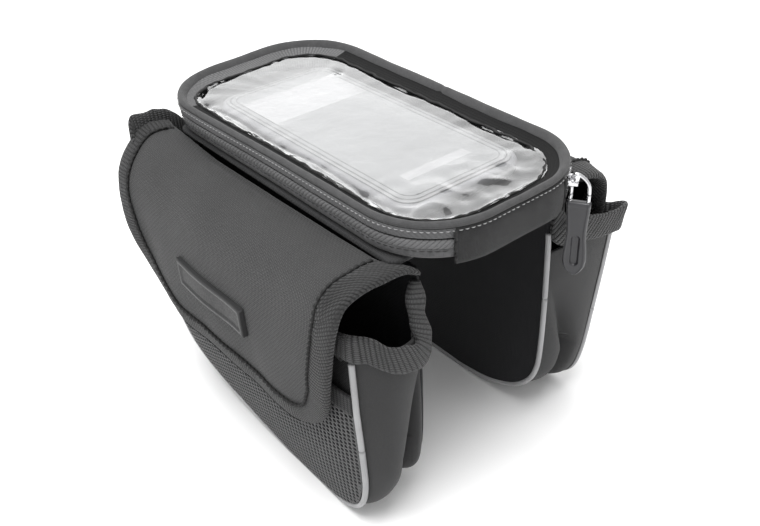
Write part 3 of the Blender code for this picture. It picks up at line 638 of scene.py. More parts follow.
BOW_AT = sorted((place_on_outline(x / 1000, y / 1000), out / 1000) for x, y, out in BOW)
BOW_LINE = np.interp(EVEN, [a for a, _ in BOW_AT], [b for _, b in BOW_AT], period=AROUND)
for _ in range(24):
    BOW_LINE = (np.roll(BOW_LINE, 8) + 2 * BOW_LINE + np.roll(BOW_LINE, -8)) / 4
print("the wall bows outward by up to", round(float(BOW_LINE.max()), 4))


def bow(at, height):
    """How far the wall stands out there: all of it from the slit up, and a third at the floor."""
    share = 0.33 + 0.67 * np.clip((height - WALL_LOW) / (SLIT - WALL_LOW), 0, 1)
    return np.interp(np.asarray(at) % AROUND, EVEN, BOW_LINE) * share


def case_line(start, end, count, closed=False):
    at = np.linspace(start, end, count, endpoint=not closed)
    turn = at % AROUND
    base = np.stack([np.interp(turn, OUTLINE_LENGTH, OUTLINE[:, k]) for k in range(2)], axis=1)
    normal = unit(np.stack([np.interp(turn, OUTLINE_LENGTH, OUTLINE_NORMALS[:, k]) for k in range(2)], axis=1))
    zero = np.zeros((count, 1))
    return at, np.hstack([base, zero]), np.hstack([normal, zero])


def case_band(name, start, end, section, material, count=240, closed=False, wobble=0.0, seed=1):
    """A band round the case. Its section holds (out from the wall, height) pairs of a closed loop, or one loop
    for each place along it."""
    at, base, normal = case_line(start, end, count, closed)
    section = np.asarray(section, dtype=float)
    if section.ndim == 2:
        section = np.repeat(section[None], count, axis=0)
    out = section[:, :, 0] + np.stack([bow(at, section[:, j, 1]) for j in range(section.shape[1])], axis=1)
    if wobble:
        out = out + (wave(at, seed, 0.022) * wobble)[:, None]
    points = base[:, None] + normal[:, None] * out[:, :, None]
    points[:, :, 2] += section[:, :, 1]
    return sheet_mesh(name, points, material, closed_u=closed, closed_v=True, caps=not closed, flip=True)


def strip_section(low, high, bulge, thick, steps=7, out=0.0):
    """The closed section of a thin strip that bows outward."""
    share = np.linspace(0, 1, steps)
    face = [(out + bulge * 4 * s * (1 - s), low + (high - low) * s) for s in share]
    back = [(a - thick, z) for a, z in reversed(face)]
    return face + back


# %% [markdown]
# The zip's two tapes are one herringbone cloth that meets at the slit. The hinged end has a plain cloth wall
# between two seams, and it reaches down over the edge of the base.


# %% Zip tapes and walls
def find_seam(side):
    low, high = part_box("case_end_wall")
    y = high[1] if side > 0 else low[1]
    rows = np.where((np.sign(OUTLINE[:, 1]) == side) & (OUTLINE[:, 0] > 0))[0]
    best = rows[np.argmin(np.abs(OUTLINE[rows, 1] - y))]
    return OUTLINE_LENGTH[best]


SEAM_RIGHT, SEAM_LEFT = find_seam(1), find_seam(-1)
print("seams at", SEAM_RIGHT, AROUND - SEAM_LEFT, "of", AROUND)


def zip_map(obj):
    """Lays the zip cloth's map so that its second value is the height over the slit."""
    layer = obj.data.uv_layers["cloth"].data
    for loop in obj.data.loops:
        layer[loop.index].uv[1] = obj.data.vertices[loop.vertex_index].co.z - SLIT


upper = case_band("zip_tape_upper_cloth", SEAM_RIGHT, SEAM_LEFT,
                  strip_section(SLIT + 0.00045, WALL_TOP + 0.0002, 0.0003, 0.0009, out=0.0003), ZIP_TAPE_SOFT,
                  wobble=0.0002)
lower = case_band("zip_tape_lower_cloth", SEAM_RIGHT, SEAM_LEFT,
                  strip_section(SLIT - 0.0047, SLIT - 0.00045, 0.0004, 0.0009, out=0.0002), ZIP_TAPE, wobble=0.0002)
for obj in (upper, lower):
    zip_map(obj)
wall = case_band("case_wall_cloth", SEAM_RIGHT, SEAM_LEFT,
                 [(0.0005, SLIT - 0.0046), (0.0007, SLIT - 0.0060), (0.0004, WALL_LOW + 0.0014),
                  (-0.0010, WALL_LOW + 0.0002), (-0.0024, WALL_LOW + 0.0002), (-0.0014, WALL_LOW + 0.0016),
                  (-0.0010, SLIT - 0.0060), (-0.0010, SLIT - 0.0046)], CASE_CLOTH, wobble=0.0002, seed=2)
END_LOW = 0.0006
end_wall = case_band("end_wall_cloth", SEAM_LEFT - AROUND, SEAM_RIGHT,
                     [(0.0003, WALL_TOP + 0.0002), (0.0009, WALL_TOP - 0.003), (0.0012, SLIT),
                      (0.0012, WALL_LOW + 0.003),
                      (0.0009, WALL_LOW), (0.0006, END_LOW + 0.0006), (0.0000, END_LOW), (-0.0008, END_LOW + 0.0006),
                      (-0.0012, WALL_LOW + 0.002), (-0.0009, SLIT), (-0.0010, WALL_TOP + 0.0002)],
                     END_CLOTH, count=110, wobble=0.0003, seed=3)
settle(upper, "lid", "black_tape", "zip_tape_upper")
settle(lower, "carrier", "black_tape", "zip_tape_lower")
settle(wall, "carrier", "plain_cloth", "case_wall")
settle(end_wall, "carrier", "plain_cloth", "case_end_wall")
print("wall reaches down to", END_LOW)


# %% [markdown]
# Over the wall stands the lid's piped ring, a low dome of cloth over a cord. A stitched groove parts it from the
# wall. Its section is drawn as points, because a round tube would stand too high.

# %% Ring
RING_SECTION = [(0.0000, 0.0001), (0.0005, 0.0008), (0.0005, 0.0016), (0.0001, 0.0023), (-0.0006, 0.0027),
                (-0.0014, 0.0027), (-0.0022, 0.0022), (-0.0030, 0.0013), (-0.0037, 0.0002), (-0.0042, -0.0008),
                (-0.0036, -0.0012), (-0.0024, -0.0006), (-0.0010, -0.0002)]
RING_BASE = WALL_TOP + 0.0002


def ring_piece():
    """The piped ring, a little uneven, with the dent of its butt joint on the far side."""
    count = 520
    at = np.linspace(0, AROUND, count, endpoint=False)
    section = np.repeat(np.array(RING_SECTION)[None], count, axis=0)
    joint = place_on_outline(0.003, 0.0485)
    size = 1 + 0.05 * wave(at, 4, 0.012) - 0.16 * np.exp(-(((at - joint) / 0.0012) ** 2))
    section[:, :, 0] = section[:, :, 0] * size[:, None] + 0.0002 * wave(at, 5, 0.03)[:, None]
    section[:, :, 1] = RING_BASE + section[:, :, 1] * (size * (1 + 0.06 * wave(at, 6, 0.05)))[:, None]
    return case_band("ring_piping", 0, AROUND, section, RING_CLOTH, count=count, closed=True)


ring = settle(ring_piece(), "lid", "plain_cloth", "lid_ring")
groove = case_band("ring_groove", 0, AROUND,
                   strip_section(WALL_TOP - 0.0001, RING_BASE + 0.0004, 0.0001, 0.0016, 3, 0.00015), BLACK_THREAD,
                   count=400, closed=True)
settle(groove, "lid", "plain_cloth")


def wall_stitches(name, start, end, out, height, material, body, **kind):
    """A row of stitches round the case at one height."""
    count = int(abs(end - start) / 0.0012)
    at, base, normal = case_line(start, end, count)
    path = base + normal * (out + bow(at, np.full(count, height)))[:, None]
    path[:, 2] = height
    return settle(stitches(name, path, normal, material, **kind), body, "black_tape")


wall_stitches("ring_stitches", 0, AROUND, 0.0007, WALL_TOP - 0.0007, PALE_THREAD, "lid",
              length=0.0016, gap=0.0009, radius=0.00022)
wall_stitches("lower_tape_stitches", SEAM_RIGHT, SEAM_LEFT, 0.0007, SLIT - 0.0050, BLACK_THREAD, "carrier",
              length=0.0022, gap=0.0008, radius=0.00022)
for end, label in ((SEAM_RIGHT, "right"), (SEAM_LEFT, "left")):
    at, base, normal = case_line(end, end + 1e-6, 2)
    up = np.linspace(END_LOW + 0.001, WALL_TOP - 0.0005, 12)
    path = np.array([base[0] + normal[0] * (0.0012 + float(bow(end, z))) for z in up])
    path[:, 2] = up
    rib = sweep(f"end_seam_{label}", path, np.repeat(normal[:1], 12, axis=0), circle(0.0006, 8), BLACK_THREAD)
    settle(rib, "carrier", "plain_cloth")
print("ring and its stitching done")

# %% [markdown]
# Inside the ring a band of lining slopes down to the film's edge. It is wide at the far end and on the right, and
# narrow at the near end and on the left. A rolled black thread edge runs where it meets the film. The film is a
# shallow dish. It bellies and ripples near its border, because it is sewn into a curved seam, and it is most
# crumpled at the near end.


# %% Lining
def lining_width(at):
    """How far in from the wall the lining ends, at each place round the case."""
    knots = [(102, 0, 7.0), (96, -33, 7.0), (60, -48.5, 6.8), (-40, -48.5, 7.2), (-80, -46, 8.4), (-98, -25, 11.5),
             (-102, 0, 13.0), (-101, 20, 12.6), (-80, 46, 11.8), (-40, 48.5, 11.4), (20, 48.5, 11.2),
             (70, 48.4, 11.4),
             (92, 40, 10.2), (99, 26, 8.6)]
    pairs = sorted((place_on_outline(x / 1000, y / 1000), w / 1000) for x, y, w in knots)
    return np.interp(np.asarray(at) % AROUND, [a for a, _ in pairs], [w for _, w in pairs], period=AROUND)


def lining_foot(width):
    """The height of the lining's inner edge: low where the band is wide."""
    return WALL_TOP - 0.0002 - 0.0011 * np.clip((width - 0.007) / 0.004, 0, 1)


def lid_lining(name, start, end, material, closed=False):
    count = int(abs(end - start) / 0.0013)
    at = np.linspace(start, end, count, endpoint=not closed)
    width = lining_width(at) + 0.0005 * wave(at, 31, 0.006) + 0.0005 * wave(at, 32, 0.017)
    foot = lining_foot(width)
    share = np.linspace(0, 1, 8)
    start_out, start_high = -0.0030, RING_BASE + 0.0002
    top = [np.stack([start_out - (width + start_out) * s, start_high - (start_high - foot) * s**0.6], axis=1)
           for s in share]
    under = [layer - np.array([0, 0.0006]) for layer in reversed(top)]
    section = np.stack(top + under, axis=1)
    return case_band(name, start, end, section, material, count=count, closed=closed)


FAR_START, FAR_END = place_on_outline(-0.074, 0.048), place_on_outline(-0.070, -0.0484)
# The far end uses the grey lining. The rest of the band takes near-black painted shade, for the sides that face away
# from the light.
settle(lid_lining("lid_lining_far", FAR_START, FAR_END, LINING), "lid", "plain_cloth")
settle(lid_lining("lid_lining_near", FAR_END - AROUND, FAR_START, INNER_PAINTED_SHADE), "lid", "plain_cloth")


def lining_edge():
    """The rolled thread edge along the lining's inner side."""
    count = 460
    at, base, normal = case_line(0, AROUND, count, closed=True)
    width = lining_width(at) + 0.0006 * wave(at, 33, 0.009) + 0.0005 * wave(at, 34, 0.004)
    path = base - normal * (width - bow(at, np.full(count, RING_BASE)))[:, None]
    path[:, 2] = lining_foot(lining_width(at)) + 0.0001
    size = 0.00055 + 0.00025 * wave(at, 35, 0.005)
    section = circle(1.0, 8)[None] * np.clip(size, 0.0003, 0.001)[:, None, None]
    return sweep("film_edge_thread", path, normal, section, BLACK_THREAD, closed=True)


settle(lining_edge(), "lid", "plain_cloth")
wall_lining = case_band("wall_lining", 0, AROUND,
                        strip_section(WALL_LOW + 0.003, SLIT - 0.0008, 0.0002, 0.0006, 5, -0.0030), LINING, count=300,
                        closed=True)
settle(wall_lining, "carrier", "foam")


# %% Film
FILM_LOW, FILM_HIGH = z_range("window_film")
FILM_FLAT = FILM_LOW + 0.0004
DENTS = [(-0.068, -0.040, 0.0016, 0.0035), (0.054, -0.040, 0.0014, 0.0035), (-0.056, 0.030, 0.0015, 0.0030),
         (0.080, 0.034, -0.0012, 0.0060), (0.036, 0.032, 0.0009, 0.0050)]


def film_height(x, y, inset, at):
    """The film's height, from its dish, its ripples and its crumples."""
    wide = np.clip((lining_width(at) - 0.007) / 0.004, 0, 1)
    rise = (FILM_HIGH - FILM_LOW - 0.0011) * (1 - 0.62 * wide)
    dish = np.clip((0.0109 - inset) / 0.0075, 0, 1)
    height = FILM_FLAT + rise * dish * dish * (3 - 2 * dish)
    height += 0.00016 * noise.noise(Vector((x / 0.055, y / 0.030, 3.3)))
    near = np.clip((x - 0.045) / 0.035, 0, 1)
    border = math.exp(-inset / 0.012)
    crumple = noise.noise(Vector((x / 0.010, y / 0.017, 8.1)))
    crumple += 0.5 * noise.noise(Vector((x / 0.006, y / 0.008, 1.1)))
    height += 0.00075 * crumple * near * (1 - 0.6 * dish)
    ridge = 1 - abs(noise.noise(Vector((x / 0.020 + y / 0.050, y / 0.016, 5.7)))) * 3
    height += 0.0006 * max(0.0, ridge) * near
    height += 0.0010 * noise.noise(Vector((at / 0.009, 2.0, 4.4))) * border * (1 - dish * dish)
    height -= 0.00045 * math.exp(-(((inset - 0.0120 - 0.001 * math.sin(at / 0.011)) / 0.0012) ** 2)) * (1 - near)
    for cx, cy, deep, size in DENTS:
        height -= deep * 0.5 * math.exp(-((x - cx) ** 2 + (y - cy) ** 2) / size**2)
    return height


def film_points(rows=64, count=520):
    """Rings of points from the case's middle line out to the ring."""
    at, base, normal = case_line(0, AROUND, count, closed=True)
    edge_in = lining_width(at) - 0.0010  # it ends just under the lining
    outer = bow(at, np.full(count, RING_BASE))
    edge = base[:, :2] + normal[:, :2] * (outer - edge_in)[:, None]
    core = np.stack([np.clip(edge[:, 0], -0.05, 0.05), np.zeros(count)], axis=1)
    points = np.zeros((rows, count, 3))
    for i, share in enumerate(np.linspace(0, 1, rows) ** 0.8):
        flat = core + (edge - core) * share
        reach = np.linalg.norm(edge - flat, axis=1)
        points[i, :, :2] = flat
        for j in range(count):
            points[i, j, 2] = film_height(flat[j, 0], flat[j, 1], edge_in[j] + reach[j], at[j])
    return points


film_grid = film_points()
film = sheet_mesh("window_film_sheet", film_grid.transpose(1, 0, 2), FILM_CLEAR, closed_u=True, flip=True)
settle(film, "lid", "clear_film", "window_film")
print("film from", film_grid[:, :, 2].min(), "to", film_grid[:, :, 2].max())

# %% [markdown]
# ## The phone and its cushion
# The phone shows as a pale slab with a blank screen. Its picture is left out, so the screen has plain fields. It
# lies on a foam cushion with a cloth face.


# %% Phone
def rounded_box(name, centre, half, corner, low, high, edge, material, crown=0.0):
    """A slab with rounded corners in plan and a rounded edge. crown lifts its middle."""
    turns = np.radians(np.linspace(0, 360, 72, endpoint=False))
    plan = []
    for t in turns:
        c, s = math.cos(t), math.sin(t)
        plan.append(((half[0] - corner) * np.sign(c) + corner * c, (half[1] - corner) * np.sign(s) + corner * s))
    plan = np.array(plan)
    rows = [(0.0, low, 0.0), (1.0, low, edge), (1.0, low + edge * 0.3, edge * 0.3), (1.0, low + edge, 0.0)]
    rows += [(1.0, high - edge, 0.0), (1.0, high - edge * 0.3, edge * 0.3), (1.0, high, edge)]
    rows += [(share, high + crown * (1 - share**2), edge * share) for share in (0.8, 0.55, 0.3, 0.0)]
    points = np.zeros((len(rows), len(plan), 3))
    for i, (share, z, inset) in enumerate(rows):
        scale = 1 - inset / np.array(half)
        points[i, :, 0] = centre[0] + plan[:, 0] * scale[0] * share
        points[i, :, 1] = centre[1] + plan[:, 1] * scale[1] * share
        points[i, :, 2] = z
    return sheet_mesh(name, points.transpose(1, 0, 2), material, closed_u=True, flip=False)


(px0, py0, pz0), (px1, py1, pz1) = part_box("phone_body")
SCREEN_TOP = z_range("phone_screen")[1]
phone = rounded_box("phone_shell", (0, 0), (px1, py1), 0.011, pz0, pz1, 0.0016, PHONE_SHELL)
settle(phone, "carrier", "rubber", "phone_body")
screen = rounded_box("phone_screen_glass", (0, 0), (px1 - 0.0024, py1 - 0.0024), 0.009, z_range("phone_screen")[0],
                     SCREEN_TOP - 0.0001, 0.0002, SCREEN)
settle(screen, "carrier", "screen_glass", "phone_screen")


def screen_field(name, x0, x1, y0, y1, material, lift):
    field = rounded_box(name, ((x0 + x1) / 2, (y0 + y1) / 2), ((x1 - x0) / 2, (y1 - y0) / 2), 0.0004,
                        SCREEN_TOP - 0.00012 + lift, SCREEN_TOP - 0.00006 + lift, 0.00002, material)
    return settle(field, "carrier", "screen_glass")


def screen_frame(name, half, corner, width, lift, material):
    """A thin rounded frame line on the screen."""
    turns = np.radians(np.linspace(0, 360, 96, endpoint=False))
    rows = []
    for grow in (0.0, width):
        hx, hy = half[0] + grow, half[1] + grow
        c = corner + grow
        rows.append([((hx - c) * np.sign(math.cos(t)) + c * math.cos(t),
                      (hy - c) * np.sign(math.sin(t)) + c * math.sin(t), SCREEN_TOP + lift) for t in turns])
    frame_line = sheet_mesh(name, np.array(rows).transpose(1, 0, 2), material, closed_u=True, flip=True)
    return settle(thicken(frame_line, 0.00008, 0.0), "carrier", "screen_glass")


screen_field("screen_band", -0.058, -0.028, -0.027, 0.027, SCREEN_LIGHT, 0.00003)
screen_field("screen_strip", 0.050, 0.056, -0.018, 0.018, SCREEN_LIGHT, 0.00003)
screen_frame("screen_line_outer", (0.0695, 0.0297), 0.0075, 0.0006, 0.0, SCREEN_LINE)
screen_frame("screen_line_inner", (0.0670, 0.0272), 0.0060, 0.0004, 0.0, SCREEN_LINE)

(cx0, cy0, cz0), (cx1, cy1, cz1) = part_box("phone_cushion")
cushion = rounded_box("cushion_pad", (0, 0), (cx1, cy1), 0.024, cz0, cz1 - 0.0002, 0.0006, CUSHION_CLOTH,
                      crown=0.0001)
settle(cushion, "carrier", "foam", "phone_cushion")
(fx0, fy0, fz0), (fx1, fy1, fz1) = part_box("case_floor")
case_floor = rounded_box("floor_pad", (0, 0), (fx1, fy1), 0.030, fz0, fz1, 0.0008, CUSHION_CLOTH)
settle(case_floor, "carrier", "foam", "case_floor")
print("phone and cushion done")

# %% [markdown]
# ## Flaps
# `FlapShape` maps a place on the flat flap, as a distance along the bag and a distance down from its hinge, to
# the bent surface. It blends five cross-sections that stand at places along the bag, so the flap can lift at its
# far end and dip beside the case. The cloth, the binding, the stitching and the badge all use it, so they stay
# together.

# %% The flap's surface
LEFT_SECTIONS = {
    -0.088: [(51.0, 1.2), (53.5, 3.4), (58, 4.5), (63.9, 4.4), (70.5, 1.6), (76.5, -3.8), (81, -10), (84, -18),
             (85.8, -29), (86.4, -41), (85.8, -53), (84.2, -65), (82.0, -76)],
    -0.045: [(51.3, -2.2), (54, -2.0), (58, 0.0), (63.5, 1.4), (69.5, -0.2), (75.2, -4.8), (79.8, -11.6),
             (82.8, -20.5),
             (84.4, -32), (84.8, -45), (84.2, -58), (83.2, -71), (81.6, -84)],
    0.0: [(51.3, -1.6), (54, -1.6), (58, 0.0), (63, 0.4), (69, -1.4), (74.6, -5.8), (79.2, -12.6), (82.0, -21.5),
          (83.4, -33), (83.8, -46), (83.2, -60), (81.8, -73), (80.0, -86)],
    0.045: [(51.3, -0.6), (54, -0.4), (58, 0.4), (63, 0.4), (69.5, -0.8), (75.0, -4.2), (79.0, -10.8), (81.4, -20),
            (82.6, -32), (82.8, -45), (82.2, -59), (81.0, -72), (79.4, -85)],
    0.074: [(51.3, 0.4), (54.5, 1.0), (59, 1.2), (64, 0.9), (70, -0.2), (75.5, -3.0), (79.2, -8.4), (80.8, -17),
            (81.2, -29), (81.2, -41), (81.0, -54), (80.6, -67), (79.4, -79)],
    0.086: [(41.0, -4.2), (45.0, -1.2), (50.5, 0.5), (57, 0.8), (64.5, 0.3), (71.5, -1.2), (76.8, -4.6),
            (79.6, -11.5),
            (80.6, -22), (80.8, -35), (81.0, -48), (81.2, -60), (80.4, -72)],
}
RIGHT_SECTIONS = {
    x: [(min(y, 51.3) if k == 0 else y - 3.2 * min(1, k / 5) * max(0.0, (x + 0.045) / 0.13), z)
        for k, (y, z) in enumerate(line)] for x, line in LEFT_SECTIONS.items() if x < 0.08
}
RIGHT_SECTIONS[0.086] = [(50.5, 0.6), (53.5, 1.2), (57.5, 1.0), (62, 0.0), (66.5, -1.8), (70.4, -4.8), (73.2, -9.6),
                         (74.8, -17), (75.4, -29), (75.6, -42), (75.8, -56), (76, -69), (76, -81)]
HALF_WIDTHS = {1: [(0.0, 0.0885), (0.16, 0.0885), (0.40, 0.0860), (0.70, 0.0785), (1.0, 0.0725)],
               -1: [(0.0, 0.0905), (0.15, 0.0925), (0.40, 0.0915), (0.70, 0.0875), (1.0, 0.0840)]}


class FlapShape:
    def __init__(self, side):
        self.side = side
        sections = LEFT_SECTIONS if side < 0 else RIGHT_SECTIONS
        self.places = np.array(sorted(sections))
        lines = [smooth_line(np.array(sections[x]) / 1000, 160) for x in self.places]
        self.lines = np.array(lines)
        runs = [np.linalg.norm(np.diff(line, axis=0), axis=1).sum() for line in lines]
        self.depth = float(np.mean(runs))

    def half_width(self, down, end):
        """How far the flap reaches along the bag at a distance down, at its near (+1) or far (-1) end."""
        share = np.clip(down / self.depth, 0, 1)
        straight = np.interp(share, [a for a, _ in HALF_WIDTHS[end]], [b for _, b in HALF_WIDTHS[end]])
        corner = 0.024 if end > 0 else 0.040
        past = np.clip(down - (self.depth - corner), 0, corner)
        return straight - (corner - np.sqrt(np.maximum(corner**2 - past**2, 0)))

    def section(self, along, share):
        """The blended cross-section, as (out, height)."""
        k = np.clip(np.searchsorted(self.places, along) - 1, 0, len(self.places) - 2)
        a, b = self.places[k], self.places[k + 1]
        t = np.clip((along - a) / (b - a), -0.6, 1.4)
        smooth = np.where((t > 0) & (t < 1), t * t * (3 - 2 * t) * 0.45 + t * 0.55, t)
        row = np.clip(share, 0, 1) * 159
        low = np.clip(row.astype(int), 0, 158)
        part = (row - low)[..., None]
        first = self.lines[k, low] * (1 - part) + self.lines[k, low + 1] * part
        second = self.lines[k + 1, low] * (1 - part) + self.lines[k + 1, low + 1] * part
        return first + (second - first) * smooth[..., None]

    def point(self, along, down):
        """The bent place of a flat place. Both may be arrays of one shape."""
        along, down = np.broadcast_arrays(np.asarray(along, float), np.asarray(down, float))
        share = down / self.depth
        place = self.section(along, share)
        out, height = place[..., 0], place[..., 1]
        x = along / 0.088
        dent = -0.0020 * np.exp(-((x + 0.80) ** 2) / 0.020 - (share - 0.66) ** 2 / 0.030)
        roll = 0.0005 * np.sin(7 * x + 5 * share) * share + 0.0004 * np.sin(13 * x - 4 * share) * share
        return np.stack([along, self.side * (out + dent + roll), height], axis=-1)

    def normal(self, along, down, step=0.0006):
        a = self.point(np.add(along, step), down) - self.point(np.subtract(along, step), down)
        lower = self.point(along, np.minimum(np.add(down, step), self.depth))
        b = lower - self.point(along, np.maximum(np.subtract(down, step), 0))
        return unit(np.cross(b, a) * -self.side)

    def outline(self, count, start=0.003):
        """Flat places along the free edge: down the near end, along the bottom and up the far end."""
        downs = np.concatenate([np.linspace(start, self.depth - 0.041, 40),
                                self.depth - 0.041 * (1 - np.sin(np.linspace(0.03, math.pi / 2, 60)))])
        near = [(float(self.half_width(d, 1)), d) for d in downs]
        far = [(-float(self.half_width(d, -1)), d) for d in downs]
        bottom = [(x, self.depth) for x in np.linspace(near[-1][0], far[-1][0], 40)[1:-1]]
        flat = np.array(near + bottom + far[::-1])
        steps = np.concatenate([[0], np.cumsum(np.linalg.norm(np.diff(flat, axis=0), axis=1))])
        even = np.linspace(0, steps[-1], count)
        return np.stack([np.interp(even, steps, flat[:, k]) for k in range(2)], axis=1)


def flap_cloth(shape, name):
    rows, columns = 110, 150
    downs = np.concatenate([np.linspace(0, shape.depth - 0.04, 64),
                            shape.depth - 0.04 * (1 - np.sin(np.linspace(0.02, math.pi / 2, rows - 64)))])
    downs[-1] = shape.depth - 0.0002
    share = np.linspace(0, 1, columns)
    near = shape.half_width(downs, 1) - 0.0006
    far = -shape.half_width(downs, -1) + 0.0006
    along = far[:, None] + (near - far)[:, None] * share[None]
    down = np.repeat(downs[:, None], columns, axis=1)
    points = shape.point(along, down)
    uv = np.stack([along, down], axis=-1)
    obj = sheet_mesh(name, points, FLAP_CLOTH, uv=uv, flip=shape.side > 0)
    return thicken(obj, 0.0011, -1.0, INNER_PAINTED_SHADE)


def inward(flat):
    """Directions from a flat outline towards its inside."""
    run = unit(np.gradient(flat, axis=0))
    normal = np.stack([-run[:, 1], run[:, 0]], axis=1)
    middle = flat.mean(axis=0)
    wrong = np.sum(normal * (middle - flat), axis=1) < 0
    normal[wrong] *= -1
    return unit(normal)


def tape_share(flat):
    """How wide the tape is at places on the flat outline: 10 mm, and up to 13 mm at the near end."""
    return 1 + 0.30 * np.clip((flat[:, 0] - 0.055) / 0.020, 0, 1)


def flap_binding(shape, name):
    """The tape folded over the free edge. As much of it lies on the inside as on the outside."""
    count = 460
    flat = shape.outline(count)
    into = inward(flat)
    length = np.concatenate([[0], np.cumsum(np.linalg.norm(np.diff(flat, axis=0), axis=1))])
    pucker = 1 + 0.14 * wave(length, 21 + shape.side, 0.007)
    edge = 0.0004 * wave(length, 25 + shape.side, 0.010)
    profile = [(0.0098, 0.00010), (0.0096, 0.00070), (0.0070, 0.00105), (0.0040, 0.00120), (0.0015, 0.00115),
               (0.0002, 0.00070), (-0.0005, -0.0003), (-0.0005, -0.0010), (0.0002, -0.00180), (0.0030, -0.0024),
               (0.0070, -0.0024), (0.0095, -0.0020), (0.0098, -0.0012)]
    points = np.zeros((count, len(profile), 3))
    for j, (inset, height) in enumerate(profile):
        place = flat + into * (inset * tape_share(flat) + edge * (inset > 0.005))[:, None]
        base = shape.point(place[:, 0], place[:, 1])
        normal = shape.normal(place[:, 0], place[:, 1])
        points[:, j] = base + normal * (height * pucker)[:, None]
    return sheet_mesh(name, points, WEBBING, closed_v=True, caps=True, flip=shape.side > 0)


def flap_stitching(shape, name):
    flat = shape.outline(560)
    length = np.concatenate([[0], np.cumsum(np.linalg.norm(np.diff(flat, axis=0), axis=1))])
    waver = 0.0100 * tape_share(flat) + 0.0004 * wave(length, 25 + shape.side, 0.010)
    place = flat + inward(flat) * waver[:, None]
    normal = shape.normal(place[:, 0], place[:, 1])
    return stitches(name, shape.point(place[:, 0], place[:, 1]) + normal * 0.0005, normal, BLACK_THREAD,
                    length=0.0040, gap=-0.0008, radius=0.00080)


# %% [markdown]
# The badge is a bare rubber plate with a raised rim, sewn to the flap. Its words are left out.


# %% Badge
def badge_plate(shape, name, middle, half):
    rim, count_x, count_y = 0.0020, 56, 26
    across = np.concatenate([[-1.0, -1.0], np.linspace(-1, 1, count_x - 4), [1.0, 1.0]])
    upward = np.concatenate([[-1.0, -1.0], np.linspace(-1, 1, count_y - 4), [1.0, 1.0]])
    points = np.zeros((len(across), len(upward), 3))
    for i, a in enumerate(across):
        for j, b in enumerate(upward):
            x, d = middle[0] + a * half[0], middle[1] + b * half[1]
            edge = min(half[0] * (1 - abs(a)), half[1] * (1 - abs(b)))
            lift = 0.0024
            if edge < 0.0006:
                lift = 0.0024 - 0.0005 * (1 - edge / 0.0006)
            elif edge > rim:
                lift = 0.0024 - 0.0007 * min(1, (edge - rim) / 0.0004)
            if i in (0, len(across) - 1) or j in (0, len(upward) - 1):
                lift = -0.0004
            base = shape.point(x, d)
            points[i, j] = base + shape.normal(x, d) * (lift + 0.0007 * max(0, a) ** 3)
    obj = sheet_mesh(name, points, BADGE_RUBBER, flip=shape.side < 0)
    obj.data.materials.append(BADGE_FACE)
    for face in obj.data.polygons:
        i, j = divmod(face.index, len(upward) - 1)
        a, b = (across[i] + across[i + 1]) / 2, (upward[j] + upward[j + 1]) / 2
        if min(half[0] * (1 - abs(a)), half[1] * (1 - abs(b))) > rim + 0.0003:
            face.material_index = 1
    return obj


FLAPS = {}
for side, label in ((-1, "left"), (1, "right")):
    shape = FLAPS[label] = FlapShape(side)
    body = f"flap_{label}"
    settle(flap_cloth(shape, f"flap_cloth_{label}"), body, "black_cloth", f"flap_{label}")
    settle(flap_binding(shape, f"flap_tape_{label}"), body, "black_tape", f"flap_binding_{label}")
    settle(flap_stitching(shape, f"flap_stitches_{label}"), body, "black_tape")
    settle(badge_plate(shape, f"badge_plate_{label}", (-0.0070, 0.0662), (0.0275, 0.0072)), body, "rubber",
           f"badge_{label}")
    print("flap", label, "depth", round(shape.depth, 4))

# %% [markdown]
# ## Side bags
# Seen from the side, a bag's outline runs down one end, round a large corner, along the bottom and up again.
# The gusset is the strip between the inner and the outer panel. A soft bag is never flat there: its ends swell
# out, and low down a pleat parts the swelling into two lobes. The two panels have outlines of their own, and the
# gusset runs between them.

# %% Bag outlines
PIPING_RADIUS, PIPING_SEAM = 0.0014, 0.0008  # radii of the grey cord and of the black seam beside it
INNER_THICK, OUTER_THICK, HEM_THICK = 0.0014, 0.0016, 0.0008  # cloth thicknesses
OUTER_LINE = [(84.0, -27), (84.6, -60), (84.8, -88), (84.0, -106), (80.8, -118.5), (75, -126), (66, -131),
              (53, -133.6),
              (28, -134), (11, -131.6), (-6, -128.5), (-25, -125), (-50, -119), (-68, -110.5), (-79, -98),
              (-83.5, -80),
              (-84.4, -60), (-84.0, -27)]
INNER_LEFT = [(84.5, -4), (85.0, -16), (85.6, -28), (85.8, -45), (85.6, -66), (85.2, -88), (83.8, -102), (79.8, -112),
              (72, -119.5), (62, -125), (48, -130), (25, -133.2), (0, -134), (-25, -133.2), (-48, -129),
              (-66, -120.5),
              (-79, -107), (-85, -88), (-86, -60), (-85, -28), (-84.4, -4)]
INNER_RIGHT = [(84.3, -4), (84.8, -16), (85.2, -28), (85.4, -45), (85.4, -66), (84.8, -88), (83.4, -101),
               (79.5, -111),
               (72, -119.5), (62, -125.5), (48, -130.5), (25, -133.6), (0, -134), (-25, -133.6), (-48, -130),
               (-66, -121.5),
               (-78, -108), (-84, -90), (-85.6, -60), (-85, -28), (-84.4, -4)]
PANEL_OUT, OUTER_OUT = 0.0385, 0.0722


def outline_of(kind, count, near_top=None, far_top=None):
    """Points (x, z) along a panel's outline from its near top, round the bottom, to its far top."""
    line = smooth_line(np.array(kind) / 1000.0, 900)
    low = int(np.argmin(line[:, 1]))
    first, last = 0, len(line) - 1
    if near_top is not None:
        first = int(np.argmax(line[:low, 1] <= near_top))
    if far_top is not None:
        last = low + int(np.argmax(line[low:, 1] >= far_top)) if line[-1, 1] > far_top else last
    part = line[first:last + 1]
    steps = np.concatenate([[0], np.cumsum(np.linalg.norm(np.diff(part, axis=0), axis=1))])
    even = np.linspace(0, steps[-1], count)
    return np.stack([np.interp(even, steps, part[:, k]) for k in range(2)], axis=1)


